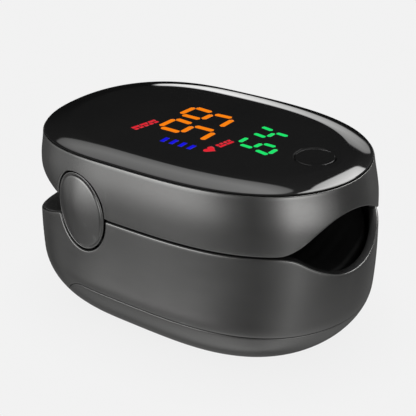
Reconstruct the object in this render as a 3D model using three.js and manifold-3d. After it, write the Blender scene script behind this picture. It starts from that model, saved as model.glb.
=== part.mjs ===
// Fingertip pulse oximeter: a two-jaw clip with a sloping mouth at the back, a round
// black window over the display, a press button, two AAA cells and a sliding battery cover.
// Millimetres, +Z up, +X towards the finger opening, Y across the width.
// Working heights below are measured from the parting plane between the two jaws (z = 0);
// the group that holds the pieces lifts them so that the flat underside sits at z = 0.
import * as THREE from "three";
import { mergeVertices } from "three/addons/utils/BufferGeometryUtils.js";
import Module from "manifold-3d";

const wasm = await Module();
wasm.setup();

// ---------------------------------------------------------------- driving dimensions
const BASE_DROP = 22.05; // parting plane above the flat underside
const BODY_SHIFT = 0.5; // the window's middle ahead of the body's middle
const HALF_LENGTH = 29.25; // of the window's outline
const HALF_WIDTH = 18.43;
const WIDEST_X = -6.405; // where the plan outline is widest
const RIM_Z = 10.1; // top edge of the upper shell, where the window sits
const WINDOW_TOP = 11.2;
const WALL = 1.5;
const PART_GAP = 0.15; // each side of the parting plane
const SEAM_GAP = 0.15; // each side of the battery cover's seam
const EDGE_DROP = 9.55; // height of the rounding under the belly
const EDGE_IN = 8.77; // how far that rounding runs in
const HINGE_X = -12.7;
const CAP_RX = 5.65;
const CAP_RZ = 6.9;
const CAP_GAP = 0.35;
const OPEN_DEG = 25;
const SEAM_Z = -14.2;
const CELL_R = 5.25;
const CELL_Y = 5.6;
const CELL_Z = -13.2;
const BUTTON_X = 21.07;
const BUTTON_R = 3.0;
const AROUND = 44; // points round an outline

// ---------------------------------------------------------------- solids and meshes
function solid(geometry) {
  const source = geometry.index ? geometry.toNonIndexed() : geometry;
  const bare = new THREE.BufferGeometry().setAttribute("position", source.getAttribute("position"));
  const merged = mergeVertices(bare, 1e-4);
  return new wasm.Manifold(
    new wasm.Mesh({
      numProp: 3,
      vertProperties: merged.attributes.position.array,
      triVerts: new Uint32Array(merged.index.array),
    }),
  );
}
function geometryOf(made) {
  const mesh = made.getMesh();
  const g = new THREE.BufferGeometry();
  g.setAttribute("position", new THREE.BufferAttribute(new Float32Array(mesh.vertProperties), 3));
  g.setIndex(new THREE.BufferAttribute(new Uint32Array(mesh.triVerts), 1));
  g.computeVertexNormals();
  return g;
}
const union = (...s) => s.reduce((a, b) => a.add(b));
const moved = (g, x, y, z) => g.clone().translate(x, y, z);
const box = (x0, x1, y0, y1, z0, z1) =>
  solid(new THREE.BoxGeometry(x1 - x0, y1 - y0, z1 - z0).translate((x0 + x1) / 2, (y0 + y1) / 2, (z0 + z1) / 2));
// A round bar along Z, X or Y between two coordinates.
function barZ(x, y, z0, z1, r, n = 24) {
  return solid(new THREE.CylinderGeometry(r, r, z1 - z0, n).rotateX(Math.PI / 2).translate(x, y, (z0 + z1) / 2));
}
function barY(x, z, y0, y1, r, n = 24) {
  return solid(new THREE.CylinderGeometry(r, r, Math.abs(y1 - y0), n).translate(x, (y0 + y1) / 2, z));
}
// A turned piece about Z: profile of [radius, height] from axis to axis.
const turned = (profile, n = 24) => new THREE.LatheGeometry(profile.map(([r, h]) => new THREE.Vector2(r, h)), n).rotateX(Math.PI / 2);
// A prism whose section is drawn in X and Z, running from y0 to y1.
function prismY(points, y0, y1) {
  const shape = new THREE.Shape(points.map(([x, z]) => new THREE.Vector2(x, z)));
  const g = new THREE.ExtrudeGeometry(shape, { depth: y1 - y0, bevelEnabled: false });
  return solid(g.rotateX(Math.PI / 2).translate(0, y1, 0));
}
// A prism whose section is drawn in Y and Z, running from x0 to x1.
function prismX(points, x0, x1) {
  const shape = new THREE.Shape(points.map(([y, z]) => new THREE.Vector2(y, z)));
  const g = new THREE.ExtrudeGeometry(shape, { depth: x1 - x0, bevelEnabled: false });
  return solid(g.rotateX(Math.PI / 2).rotateZ(Math.PI / 2).translate(x0, 0, 0));
}
// A prism whose section is drawn in X and Y, running from z0 to z1.
function prismZ(points, z0, z1) {
  const shape = new THREE.Shape(points.map(([x, y]) => new THREE.Vector2(x, y)));
  return solid(new THREE.ExtrudeGeometry(shape, { depth: z1 - z0, bevelEnabled: false }).translate(0, 0, z0));
}
// A round wire along a path.
function wire(points, r, steps, sides = 6) {
  const path = new THREE.CatmullRomCurve3(points.map((p) => new THREE.Vector3(...p)), false, "centripetal");
  const section = new THREE.Shape();
  for (let i = 0; i < sides; i++) {
    const a = (i / sides) * 2 * Math.PI;
    if (i === 0) section.moveTo(r * Math.cos(a), r * Math.sin(a));
    else section.lineTo(r * Math.cos(a), r * Math.sin(a));
  }
  return new THREE.ExtrudeGeometry(section, { steps, extrudePath: path, bevelEnabled: false });
}

// ---------------------------------------------------------------- the body's outline
const lookup = (table, z) => {
  if (z <= table[0][0]) return table[0][1];
  for (let i = 1; i < table.length; i++)
    if (z <= table[i][0]) {
      const [z0, v0] = table[i - 1];
      const [z1, v1] = table[i];
      return v0 + ((v1 - v0) * (z - z0)) / (z1 - z0);
    }
  return table[table.length - 1][1];
};
// How far the upper wall stands proud of the window's outline, by height.
const PROUD_FRONT = [[0, 1.1], [2.9, 1.06], [4.4, 0.98], [5.85, 0.78], [7.3, 0.5], [8.8, 0.21], [10.1, 0]];
const PROUD_REAR = [[0, 1.15], [2.9, 1.12], [4.4, 1.08], [5.85, 0.93], [7.3, 0.6], [8.8, 0.23], [10.1, 0]];
const PROUD_SIDE = [[0, 0.25], [2.9, 0.34], [4.4, 0.34], [5.85, 0.3], [7.3, 0.22], [8.8, 0.1], [10.1, 0]];

// One closed outline, made of a front and a rear half superellipse, evenly spaced.
function outline({ front, rear, half, pf, pr, qf, qr, xm }) {
  const raw = [];
  const M = 720;
  for (let i = 0; i < M; i++) {
    const t = (i / M) * 2 * Math.PI;
    const c = Math.cos(t);
    const s = Math.sin(t);
    const p = c >= 0 ? pf : pr;
    const q = c >= 0 ? qf : qr;
    const a = c >= 0 ? front - xm : rear + xm;
    raw.push([xm + a * Math.sign(c) * Math.abs(c) ** (2 / p), half * Math.sign(s) * Math.abs(s) ** (2 / q)]);
  }
  const run = [0];
  for (let i = 1; i <= M; i++) {
    const [x0, y0] = raw[i - 1];
    const [x1, y1] = raw[i % M];
    run.push(run[i - 1] + Math.hypot(x1 - x0, y1 - y0));
  }
  const points = [];
  let j = 0;
  for (let k = 0; k < AROUND; k++) {
    const goal = (k / AROUND) * run[M];
    while (run[j + 1] < goal) j++;
    const f = (goal - run[j]) / (run[j + 1] - run[j]);
    const [x0, y0] = raw[j];
    const [x1, y1] = raw[(j + 1) % M];
    points.push([x0 + (x1 - x0) * f, y0 + (y1 - y0) * f]);
  }
  return points;
}
const upperOutline = (z, inset) =>
  outline({
    front: HALF_LENGTH + lookup(PROUD_FRONT, z) - inset,
    rear: HALF_LENGTH + lookup(PROUD_REAR, z) - inset,
    half: HALF_WIDTH + lookup(PROUD_SIDE, z) - inset,
    pf: 3.343, pr: 2.683, qf: 2.013, qr: 2.183, xm: WIDEST_X,
  });
function lowerOutline(z, inset) {
  const u = Math.max((-2.925 - z) / 13.65, 0);
  const w = Math.min(u, 1.3);
  const k = Math.min(Math.max(0, (-BASE_DROP + EDGE_DROP - z) / (EDGE_DROP - inset)), 1);
  const round = (EDGE_IN - inset) * (1 - Math.sqrt(Math.max(0, 1 - k * k)));
  return outline({
    front: HALF_LENGTH + 1.29 - 1.246 * u * u - inset - round,
    rear: HALF_LENGTH + 2.536 - 2.274 * u * u - inset - round,
    half: HALF_WIDTH + 0.25 + 0.75 * u * u - inset - round,
    pf: 3.343 + 0.168 * w, pr: 2.683 + 0.072 * w, qf: 2.013, qr: 2.183 + 0.883 * w, xm: WIDEST_X + 0.616 * w,
  });
}
// A closed solid through a stack of outlines.
function loft(levels, at) {
  const v = [];
  const t = [];
  levels.forEach(([z, ...rest]) => at(z, ...rest).forEach(([x, y]) => v.push(x, y, z)));
  const n = AROUND;
  for (let i = 0; i + 1 < levels.length; i++)
    for (let k = 0; k < n; k++) {
      const a = i * n + k;
      const b = i * n + ((k + 1) % n);
      t.push(a, b, b + n, a, b + n, a + n);
    }
  const low = v.length / 3;
  v.push(0, 0, levels[0][0]);
  const high = low + 1;
  v.push(0, 0, levels[levels.length - 1][0]);
  const top = (levels.length - 1) * n;
  for (let k = 0; k < n; k++) {
    const m = (k + 1) % n;
    t.push(low, m, k);
    t.push(high, top + k, top + m);
  }
  const g = new THREE.BufferGeometry();
  g.setAttribute("position", new THREE.BufferAttribute(new Float32Array(v), 3));
  g.setIndex(t);
  return solid(g);
}
const upperBlock = (inset, z0, z1, ...between) => loft([z0, ...between, z1].map((z) => [z]), (z) => upperOutline(z, inset));
const lowerBlock = (inset, z0, z1, ...between) => loft([z0, ...between, z1].map((z) => [z]), (z) => lowerOutline(z, inset));

// ---------------------------------------------------------------- cutters
// Mouth edges: [half width, height].
const ARCH = [[12.9, -0.1], [12.19, 0.1], [11.4, 0.39], [10.5, 1.17], [9.17, 2.44], [7.41, 3.7], [5.46, 4.85], [3.3, 5.25], [1.6, 5.34], [0, 5.36]];
const NOTCH = [[13.4, 0.1], [12.3, -0.42], [11.36, -0.98], [10.43, -1.85], [9.07, -3.05], [7.7, -3.95], [5.85, -4.78], [3.4, -5.45], [1.7, -5.68], [0, -5.75]];
const mirrored = (edge) => [...edge.map(([y, z]) => [y, z]), ...edge.slice(0, -1).reverse().map(([y, z]) => [-y, z])];
const archCut = prismX([...mirrored(ARCH), [-12.9, -3], [12.9, -3]], 8, 40);
const notchCut = prismX([...mirrored(NOTCH), [-13.4, 3], [13.4, 3]], 8, 40);
// The sloping mouth at the back, open to the rear.
const LOWER_SLOPE = (x) => 0.373 * (x + 12.2);
const UPPER_SLOPE = (x) => -0.344 * (x + 13.7);
const lowerWedge = prismY([[-12.2, 0], [-12.2, 2], [-40, 2], [-40, LOWER_SLOPE(-40)]], -30, 30);
const upperWedge = prismY([[-13.7, 0], [-40, UPPER_SLOPE(-40)], [-40, -2], [-13.7, -2]], -30, 30);
const oval = (rx, rz, deg, n = 30) => {
  const a = (deg * Math.PI) / 180;
  return Array.from({ length: n }, (_, i) => {
    const t = (i / n) * 2 * Math.PI;
    const x = rx * Math.cos(t);
    const z = rz * Math.sin(t);
    return [HINGE_X + x * Math.cos(a) - z * Math.sin(a), x * Math.sin(a) + z * Math.cos(a)];
  });
};
const capHole = prismY(oval(CAP_RX + CAP_GAP, CAP_RZ + CAP_GAP, 0), -30, 30);
// Seen from the upper jaw the oval turns backwards as the clip opens, so its hole is the swept oval.
const capSweep = union(...[0, -0.25, -0.5, -0.75, -1].map((f) => prismY(oval(CAP_RX + CAP_GAP, CAP_RZ + CAP_GAP, OPEN_DEG * f), -30, 30)));
const only = (y0, y1) => box(-60, 60, y0, y1, -60, 60);

// The battery cover's side of the seam, gap g inside it.
function coverRegion(g) {
  const x0 = -14.6 + g;
  const z0 = SEAM_Z - g;
  return prismY(
    [[45, z0], [45, -30], [x0 - 6.6, -30], [x0 - 4.2, -18.6], [x0 - 2.9, -16.6], [x0 - 1.7, -15.3], [x0 - 0.4, z0 - 0.3], [x0 + 1.2, z0]].reverse(),
    -30, 30,
  );
}

// ---------------------------------------------------------------- materials
const finish = (color, roughness, metalness) => ({ color, roughness, metalness });
const SHELL = finish(0x5a5a59, 0.38, 0.35);
const BLACK = finish(0x0b0b0c, 0.06, 0);
const SILICONE = finish(0x141416, 0.7, 0);
const CHASSIS = finish(0x2a2b2d, 0.55, 0);
const STEEL = finish(0xb8babd, 0.3, 1);
const GREEN = finish(0x1f5a3a, 0.45, 0.05);
const SPRING = finish(0xc9c6bd, 0.28, 1);

const assembly = new THREE.Group();
assembly.position.set(BODY_SHIFT, 0, BASE_DROP);
function add(name, shape, look) {
  const g = shape.getMesh ? geometryOf(shape) : shape;
  const mesh = new THREE.Mesh(g, new THREE.MeshStandardMaterial(look));
  mesh.name = name;
  assembly.add(mesh);
  return mesh;
}

// ---------------------------------------------------------------- lower jaw
const LOWER_LEVELS = [-12.5, -15.2, -17.4, -19.3, -20.9, -21.75];
const belly = lowerBlock(0, -BASE_DROP, -PART_GAP, ...LOWER_LEVELS.slice().reverse(), -7.6, -2.9);
const bellyInner = lowerBlock(WALL, -BASE_DROP + WALL, 1, -20.3, -19.3, -17.4, -15.2, -12.5, -7.6, -2.9);
const bellyFit = lowerBlock(WALL + 0.3, -BASE_DROP + WALL + 0.3, 1, -19.3, -17.4, -15.2, -12.5, -7.6, -2.9);
// Sloping deck that closes the lower jaw under the rear mouth.
const lowerDeck = prismY([[-16.8, LOWER_SLOPE(-16.8)], [-16.8, LOWER_SLOPE(-16.8) - 1.3], [-36, LOWER_SLOPE(-36) - 1.3], [-36, LOWER_SLOPE(-36)]], -18, 18)
  .intersect(lowerBlock(0.5, -11, -PART_GAP, -6, -2.9));
const LOWER_BOSSES = [[10, 14.3], [-19.4, 13.2]];
const bossAt = (x, y, r, z0, z1, reach) => {
  const s = Math.sign(y);
  return union(barZ(x, y, z0, z1, r, 20), box(x - 1.3, x + 1.3, Math.min(y, y + s * reach), Math.max(y, y + s * reach), z0, z1));
};
let lowerShell = belly.subtract(bellyInner).add(lowerDeck);
for (const [x, y] of LOWER_BOSSES)
  for (const s of [1, -1])
    lowerShell = lowerShell.add(bossAt(x, s * y, 1.9, -12.4, -7.65, 4.2).intersect(lowerBlock(0.6, -13, -7, -10)));
for (const [x, y] of LOWER_BOSSES) for (const s of [1, -1]) lowerShell = lowerShell.subtract(barZ(x, s * y, -11.6, -5, 0.95, 16));
const coverSpace = coverRegion(-SEAM_GAP);
lowerShell = lowerShell.subtract(coverSpace).subtract(notchCut).subtract(lowerWedge).subtract(capHole);
add("lower_shell", lowerShell, SHELL);

// Cover under the cells: the boat-shaped belly with its front end, on two guide ribs.
let cover = belly.subtract(bellyInner).intersect(coverRegion(SEAM_GAP));
for (const s of [1, -1])
  cover = cover.add(box(-13, 13, s > 0 ? 11.9 : -12.7, s > 0 ? 12.7 : -11.9, -21, -14.9).intersect(lowerBlock(0.7, -21, -14, -19.7, -18.2, -16.4)));
add("battery_cover", cover, SHELL);

// Chassis: bed of the finger pad, hinge cheeks and the cell bay's end and side walls.
const BED_TOP = -6.6;
const BED_LOW = -7.5;
let lowerFrame = prismZ([[-23.6, -16], [-23.6, 16], [27.5, 16], [27.5, -16]].reverse(), BED_LOW, BED_TOP).intersect(bellyFit);
const bayWall = (x0, x1, y0, y1, z0) => box(x0, x1, y0, y1, z0, BED_LOW + 0.2).intersect(bellyFit);
lowerFrame = union(
  lowerFrame,
  bayWall(-25.1, -24.05, -11.6, 11.6, -16.8),
  bayWall(23.95, 24.95, -11.2, 11.2, -16.8),
  bayWall(-16.8, 20.5, 11.0, 11.6, -13.2),
  bayWall(-16.8, 20.5, -11.6, -11.0, -13.2),
  box(-24.7, -23.0, -11.5, 11.5, BED_LOW, BED_TOP),
);
const CHEEK = [14.3, 15.9];
const disc = (r, n = 28) => Array.from({ length: n }, (_, i) => [HINGE_X + r * Math.cos((i / n) * 2 * Math.PI), r * Math.sin((i / n) * 2 * Math.PI)]);
for (const s of [1, -1]) {
  const [a, b] = s > 0 ? CHEEK : [-CHEEK[1], -CHEEK[0]];
  const cheek = union(prismY(disc(3), a, b), box(HINGE_X - 3, HINGE_X + 3, a, b, BED_LOW, 0)).subtract(barY(HINGE_X, 0, a - 1, b + 1, 1.06));
  lowerFrame = lowerFrame.add(cheek);
}
for (const [x, y] of LOWER_BOSSES) for (const s of [1, -1]) lowerFrame = lowerFrame.subtract(barZ(x, s * y, -9, -5, 1.25, 16));
lowerFrame = lowerFrame.subtract(box(3.5, 8.5, -2.3, 2.3, -9, -5)); // window for the light sensor
lowerFrame = lowerFrame.subtract(box(-11.9, -9.9, -4.4, 4.4, -9, -5)); // slot for the flat cable
for (const s of [1, -1]) lowerFrame = lowerFrame.subtract(box(-12.2, -7.5, s > 0 ? 7.6 : -10.9, s > 0 ? 10.9 : -7.6, -9, -5)); // spring legs
add("lower_frame", lowerFrame, CHASSIS);

// Finger pads: soft troughs, closed at the finger stop.
const PAD_HALF = 12.4;
const lowPadTop = [[PAD_HALF, -0.75], [11.6, -1.15], [10.4, -2.15], [9.1, -3.2], [7.7, -4.05], [5.85, -4.8], [3.4, -5.3], [0, -5.5]];
const highPadLow = [[PAD_HALF, 0.55], [11.5, 0.75], [10.5, 1.35], [9.17, 2.4], [7.41, 3.5], [5.46, 4.35], [3.3, 4.7], [0, 4.85]];
let lowerPad = prismX([...mirrored(lowPadTop), [-PAD_HALF, BED_TOP], [PAD_HALF, BED_TOP]], -8.2, 27.6);
lowerPad = lowerPad.add(prismX([[11.6, 0.1], [11.6, BED_TOP], [-11.6, BED_TOP], [-11.6, 0.1]].reverse(), -9.4, -7.6));
lowerPad = lowerPad.intersect(bellyFit).subtract(box(2.6, 9.4, -3.2, 3.2, -8, 0));
for (const s of [1, -1]) lowerPad = lowerPad.subtract(box(-12, -7.2, s > 0 ? 7.6 : -9.2, s > 0 ? 9.2 : -7.6, -9, -5.0));
add("lower_finger_pad", lowerPad, SILICONE);
add("sensor_board", box(1.5, 10.5, -5, 5, -8.0, BED_LOW - 0.02), GREEN);
add("detector_window", box(3.0, 9.0, -2.9, 2.9, -6.55, -5.75), finish(0x3a1f1c, 0.15, 0));

// Cells, + end of the first to the rear and of the second to the front.
const cell = (len) => turned([[0, 0], [CELL_R, 0], [CELL_R, len - 0.3], [4.95, len], [1.9, len], [1.9, len + 0.8], [0, len + 0.8]], 22);
const CELL_LEN = 43.7;
add("cell_a", cell(CELL_LEN).rotateY(-Math.PI / 2).translate(20.95, -CELL_Y, CELL_Z), finish(0x3a6a9a, 0.35, 0.3));
add("cell_b", cell(CELL_LEN).rotateY(Math.PI / 2).translate(-21.1, CELL_Y, CELL_Z), finish(0x3a6a9a, 0.35, 0.3));
add("contact_bridge", box(-23.95, -23.6, -9.4, 9.4, -17.0, -9.6), STEEL);
add("contact_plus", box(23.5, 23.85, CELL_Y - 3.0, CELL_Y + 3.0, -16.0, -9.6), STEEL);
add("contact_minus", box(23.5, 23.85, -CELL_Y - 3.0, -CELL_Y + 3.0, -16.0, -9.6), STEEL);
function conicalSpring(x0, x1, y) {
  const turns = 3;
  const pts = [];
  const n = turns * 8;
  for (let i = 0; i <= n; i++) {
    const f = i / n;
    const a = f * turns * 2 * Math.PI;
    const r = 3.3 - 1.1 * f;
    pts.push([x0 + (x1 - x0) * f, y + r * Math.cos(a), CELL_Z + r * Math.sin(a)]);
  }
  return wire(pts, 0.26, n, 4);
}
add("cell_spring_front", conicalSpring(23.15, 21.3, -CELL_Y), SPRING);
add("cell_spring_rear", conicalSpring(-23.28, -21.45, CELL_Y), SPRING);

// Screws that hold the chassis down.
const screw = (down) => {
  const g = turned([[0, -4], [0.8, -4], [0.8, 0], [1.75, 0], [1.6, 0.8], [0, 0.8]], 12);
  return down ? g : g.rotateX(Math.PI);
};
LOWER_BOSSES.forEach(([x, y], i) =>
  [1, -1].forEach((s) => add(`chassis_screw_${i ? "rear" : "front"}_${s > 0 ? "left" : "right"}`, moved(screw(true), x, s * y, BED_TOP + 0.02), STEEL)),
);

// ---------------------------------------------------------------- hinge
for (const s of [1, -1]) {
  const side = s > 0 ? "left" : "right";
  const pin = turned([[0, 0], [1.5, 0], [1.5, 0.7], [1, 0.7], [1, 8.6], [0, 8.6]], 20).rotateX(s > 0 ? -Math.PI / 2 : Math.PI / 2);
  add(`hinge_pin_${side}`, moved(pin, HINGE_X, s * 7.1, 0), STEEL);
  // Torsion spring round the pin, its legs over and under the two chassis plates.
  const pts = [];
  const turns = 3;
  const n = turns * 9;
  const R = 1.95;
  pts.push([-7.9, s * 8.4, -8.05], [-9.8, s * 8.4, -6.2], [HINGE_X + 2.3, s * 8.4, -2.2]);
  for (let i = 0; i <= n; i++) {
    const f = i / n;
    const a = -0.5 + f * turns * 2 * Math.PI + f * 0.9;
    pts.push([HINGE_X + R * Math.cos(a), s * (8.45 + f * 2.0), R * Math.sin(a)]);
  }
  pts.push([HINGE_X + 1.9, s * 10.45, 3.0], [-9.8, s * 10.45, 5.2], [-7.9, s * 10.45, 7.45]);
  add(`torsion_spring_${side}`, wire(pts, 0.3, n + 10, 4), SPRING);
  // Domed oval cap that hides the pin's end.
  const rings = [[16.25, 1], [18.3, 1], [18.7, 0.93], [19.05, 0.7], [19.2, 0.35]];
  const v = [];
  const t = [];
  const m = 30;
  rings.forEach(([y, k]) => {
    for (let i = 0; i < m; i++) {
      const a = (i / m) * 2 * Math.PI;
      v.push(HINGE_X + CAP_RX * k * Math.cos(a), s * y, CAP_RZ * k * Math.sin(a));
    }
  });
  v.push(HINGE_X, s * rings[0][0], 0, HINGE_X, s * 19.26, 0);
  const c0 = rings.length * m;
  const face = (a, b, c) => (s > 0 ? t.push(a, c, b) : t.push(a, b, c));
  for (let i = 0; i < m; i++) {
    const j = (i + 1) % m;
    for (let k = 0; k + 1 < rings.length; k++) {
      face(k * m + i, k * m + j, (k + 1) * m + j);
      face(k * m + i, (k + 1) * m + j, (k + 1) * m + i);
    }
    face(c0, j, i);
    face(c0 + 1, (rings.length - 1) * m + i, (rings.length - 1) * m + j);
  }
  const g = new THREE.BufferGeometry();
  g.setAttribute("position", new THREE.BufferAttribute(new Float32Array(v), 3));
  g.setIndex(t);
  g.computeVertexNormals();
  add(`hinge_cap_${side}`, g, SHELL);
}
// Flat cable from the lower chassis to the board, with slack at the hinge.
const cableMid = [[-8.6, -7.85], [-10.4, -7.7], [-10.9, -6.5], [-11.2, -3.5], [-10.3, 0], [-11.2, 3.4], [-10.9, 5.6], [-10.6, 6.85]];
const cableOut = cableMid.map(([x, z], i) => {
  const [xa, za] = cableMid[Math.max(0, i - 1)];
  const [xb, zb] = cableMid[Math.min(cableMid.length - 1, i + 1)];
  const l = Math.hypot(xb - xa, zb - za);
  return [x - (0.25 * (zb - za)) / l, z + (0.25 * (xb - xa)) / l];
});
add("flat_cable", prismY([...cableMid, ...cableOut.reverse()].reverse(), -3.6, 3.6), finish(0xb8742c, 0.5, 0.1));

// ---------------------------------------------------------------- upper jaw
const crown = upperBlock(0, PART_GAP, RIM_Z, 2.9, 5.1, 7.3);
const crownInner = upperBlock(WALL, -1, RIM_Z + 1, 4.4, 7.3);
const crownFit = upperBlock(WALL + 0.3, -1, RIM_Z + 1, 4.4, 7.3);
const upperDeck = prismY([[-17.4, UPPER_SLOPE(-17.4)], [-36, UPPER_SLOPE(-36)], [-36, UPPER_SLOPE(-36) + 1.3], [-17.4, UPPER_SLOPE(-17.4) + 1.3]].reverse(), -18, 18)
  .intersect(upperBlock(0.5, PART_GAP, 9, 2.9, 5.85));
const UPPER_BOSSES = [[9, 14.3], [-19.6, 12.4]];
let upperShell = crown.subtract(crownInner).add(upperDeck);
for (const [x, y] of UPPER_BOSSES)
  for (const s of [1, -1]) upperShell = upperShell.add(bossAt(x, s * y, 1.9, 7.05, 9.75, 4.2).intersect(upperBlock(0.6, 7, 9.8)));
for (const [x, y] of UPPER_BOSSES) for (const s of [1, -1]) upperShell = upperShell.subtract(barZ(x, s * y, 5, 9.4, 0.95, 16));
upperShell = upperShell.subtract(archCut).subtract(upperWedge).subtract(capSweep);
add("upper_shell", upperShell, SHELL);

// Window: a thin pillow with a wide rolled edge and a locating rib, pierced for the button.
const windowLevels = [[RIM_Z, 0.15], [RIM_Z + 0.45, 0.5], [RIM_Z + 0.8, 1.8], [RIM_Z + 1.0, 4.2], [WINDOW_TOP, 11]];
let windowPane = loft(windowLevels, (z, inset) => upperOutline(RIM_Z, inset));
const ribOut = loft([[9.3], [10.3]], () => upperOutline(RIM_Z, WALL + 0.3));
const ribIn = loft([[9.0], [RIM_Z]], () => upperOutline(RIM_Z, WALL + 1.1));
windowPane = windowPane.add(ribOut.subtract(ribIn)).subtract(barZ(BUTTON_X, 0, 8, 13, BUTTON_R + 0.2, 28));
for (const [x, y] of UPPER_BOSSES) for (const s of [1, -1]) windowPane = windowPane.subtract(box(x - 2.5, x + 2.5, s > 0 ? y - 2.5 : -y - 4, s > 0 ? y + 4 : -y + 2.5, 8.5, RIM_Z));
add("display_window", windowPane, BLACK);

const CHASSIS_TOP = 7.0;
const CHASSIS_LOW = 6.2;
let upperFrame = prismZ([[-24.5, -16.0], [-24.5, 16.0], [28, 16.0], [28, -16.0]].reverse(), CHASSIS_LOW, CHASSIS_TOP).intersect(crownFit);
const EAR = [12.0, 13.7];
for (const s of [1, -1]) {
  const [a, b] = s > 0 ? EAR : [-EAR[1], -EAR[0]];
  const ear = union(prismY(disc(2.6), a, b), box(HINGE_X - 2.6, HINGE_X + 2.6, a, b, 0, CHASSIS_LOW + 0.3)).subtract(barY(HINGE_X, 0, a - 1, b + 1, 1.18));
  upperFrame = upperFrame.add(ear);
}
for (const [x, y] of UPPER_BOSSES) for (const s of [1, -1]) upperFrame = upperFrame.subtract(barZ(x, s * y, 5, 9, 1.25, 16));
upperFrame = upperFrame.subtract(box(-12.2, -9.6, -4.4, 4.4, 5, 8)).subtract(box(2.2, 9.8, -3.4, 3.4, 5, 8));
for (const s of [1, -1]) upperFrame = upperFrame.subtract(box(-12.2, -7.2, s > 0 ? 9.6 : -11.2, s > 0 ? 11.2 : -9.6, 5, 8));
add("upper_frame", upperFrame, CHASSIS);

let upperPad = prismX([...mirrored(highPadLow), [-PAD_HALF, CHASSIS_LOW], [PAD_HALF, CHASSIS_LOW]].reverse(), -8.2, 28);
upperPad = upperPad.add(prismX([[11.6, 0.45], [11.6, CHASSIS_LOW], [-11.6, CHASSIS_LOW], [-11.6, 0.45]], -9.4, -7.6));
upperPad = upperPad.intersect(crownFit).subtract(box(2.6, 9.4, -3.2, 3.2, 0, 8));
for (const s of [1, -1]) upperPad = upperPad.subtract(box(-12, -7.0, s > 0 ? 9.6 : -11.2, s > 0 ? 11.2 : -9.6, 4.6, 8));
add("upper_finger_pad", upperPad, SILICONE);
add("emitter_window", box(3.0, 9.0, -2.9, 2.9, 4.95, 5.75), finish(0xd8dde0, 0.1, 0));
add("emitter_led", box(4.2, 7.8, -1.5, 1.5, 5.8, 7.1), finish(0xe8e6da, 0.35, 0));
add("photodiode", box(3.8, 8.2, -2.0, 2.0, -7.48, -6.6), finish(0x1c1c24, 0.25, 0));

// Board with its parts.
const BOARD_LOW = 7.15;
const BOARD_TOP = 7.95;
let board = prismZ([[-22.5, -13.5], [-22.5, 13.5], [26, 13.5], [26, -13.5]].reverse(), BOARD_LOW, BOARD_TOP).intersect(upperBlock(WALL + 1.4, 7, 8.2));
for (const [x, y] of UPPER_BOSSES) for (const s of [1, -1]) board = board.subtract(box(x - 2.6, x + 2.6, s > 0 ? y - 2.6 : -20, s > 0 ? 20 : -y + 2.6, 6, 9));
for (const s of [1, -1]) board = board.subtract(box(-11, -6.9, s > 0 ? 9.6 : -11.3, s > 0 ? 11.3 : -9.6, 6, 9));
add("main_board", board, GREEN);
add("led_display_module", box(-11.2, 15.2, -8.9, 8.3, BOARD_TOP + 0.02, 9.75), finish(0x1a1a1c, 0.6, 0));
add("controller_chip", box(-19.6, -13.6, -3, 3, BOARD_TOP + 0.02, 9.0), finish(0x17171a, 0.5, 0));
add("power_inductor", turned([[0, 0], [1.9, 0], [1.9, 1.1], [1.7, 1.3], [0, 1.3]], 16).translate(-16.6, 6.6, BOARD_TOP + 0.02), finish(0x303034, 0.6, 0));
add("cable_socket", box(-12.7, -11.7, -4.2, 4.2, BOARD_TOP + 0.02, 8.9), finish(0xe6e2d4, 0.5, 0));
add("tact_switch", box(BUTTON_X - 2.6, BUTTON_X + 2.6, -2.6, 2.6, BOARD_TOP + 0.02, 8.95).subtract(barZ(BUTTON_X, 0, 8.15, 10, 1.4, 20)), finish(0x9a9ca0, 0.35, 0.8));
add("switch_plunger", turned([[0, 8.62], [1.2, 8.62], [1.2, 9.2], [1.05, 9.36], [0, 9.36]], 20).translate(BUTTON_X, 0, 0), finish(0x121214, 0.5, 0));
add("power_button", turned([[0, 9.4], [3.75, 9.4], [3.75, 9.85], [BUTTON_R, 9.85], [BUTTON_R, 11.0], [BUTTON_R - 0.2, 11.15], [0, 11.15]], 28).translate(BUTTON_X, 0, 0), BLACK);
UPPER_BOSSES.forEach(([x, y], i) =>
  [1, -1].forEach((s) => add(`jaw_screw_${i ? "rear" : "front"}_${s > 0 ? "left" : "right"}`, moved(turned([[0, -0.8], [1.6, -0.8], [1.75, 0], [0.8, 0], [0.8, 3], [0, 3]], 12), x, s * y, CHASSIS_LOW - 0.02), STEEL)),
);

export default assembly;
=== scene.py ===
# Fingertip clip oximeter: fine skins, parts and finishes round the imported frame.
import bpy, bmesh, math
import numpy as np
from mathutils import Matrix, Vector, geometry


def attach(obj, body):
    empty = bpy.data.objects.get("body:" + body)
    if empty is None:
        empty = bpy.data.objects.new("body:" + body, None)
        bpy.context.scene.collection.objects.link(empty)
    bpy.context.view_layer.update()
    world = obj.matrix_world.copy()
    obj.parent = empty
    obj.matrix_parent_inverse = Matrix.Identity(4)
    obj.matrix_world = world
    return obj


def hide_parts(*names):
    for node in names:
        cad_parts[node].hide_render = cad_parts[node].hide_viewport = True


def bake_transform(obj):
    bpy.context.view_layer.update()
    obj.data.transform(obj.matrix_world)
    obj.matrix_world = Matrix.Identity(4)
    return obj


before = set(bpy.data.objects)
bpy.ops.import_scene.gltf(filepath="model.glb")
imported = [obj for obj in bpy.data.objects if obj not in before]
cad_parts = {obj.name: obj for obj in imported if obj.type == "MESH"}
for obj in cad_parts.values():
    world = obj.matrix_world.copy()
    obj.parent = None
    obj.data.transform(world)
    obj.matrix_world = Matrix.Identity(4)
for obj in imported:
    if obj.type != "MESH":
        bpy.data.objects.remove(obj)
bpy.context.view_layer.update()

# Working coordinates: mm, x from the window's middle, z from the parting plane.
SHIFT = np.array([0.5, 0.0, 22.05])
def W(p):
    return (np.asarray(p, float) + SHIFT) / 1000.0

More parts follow.
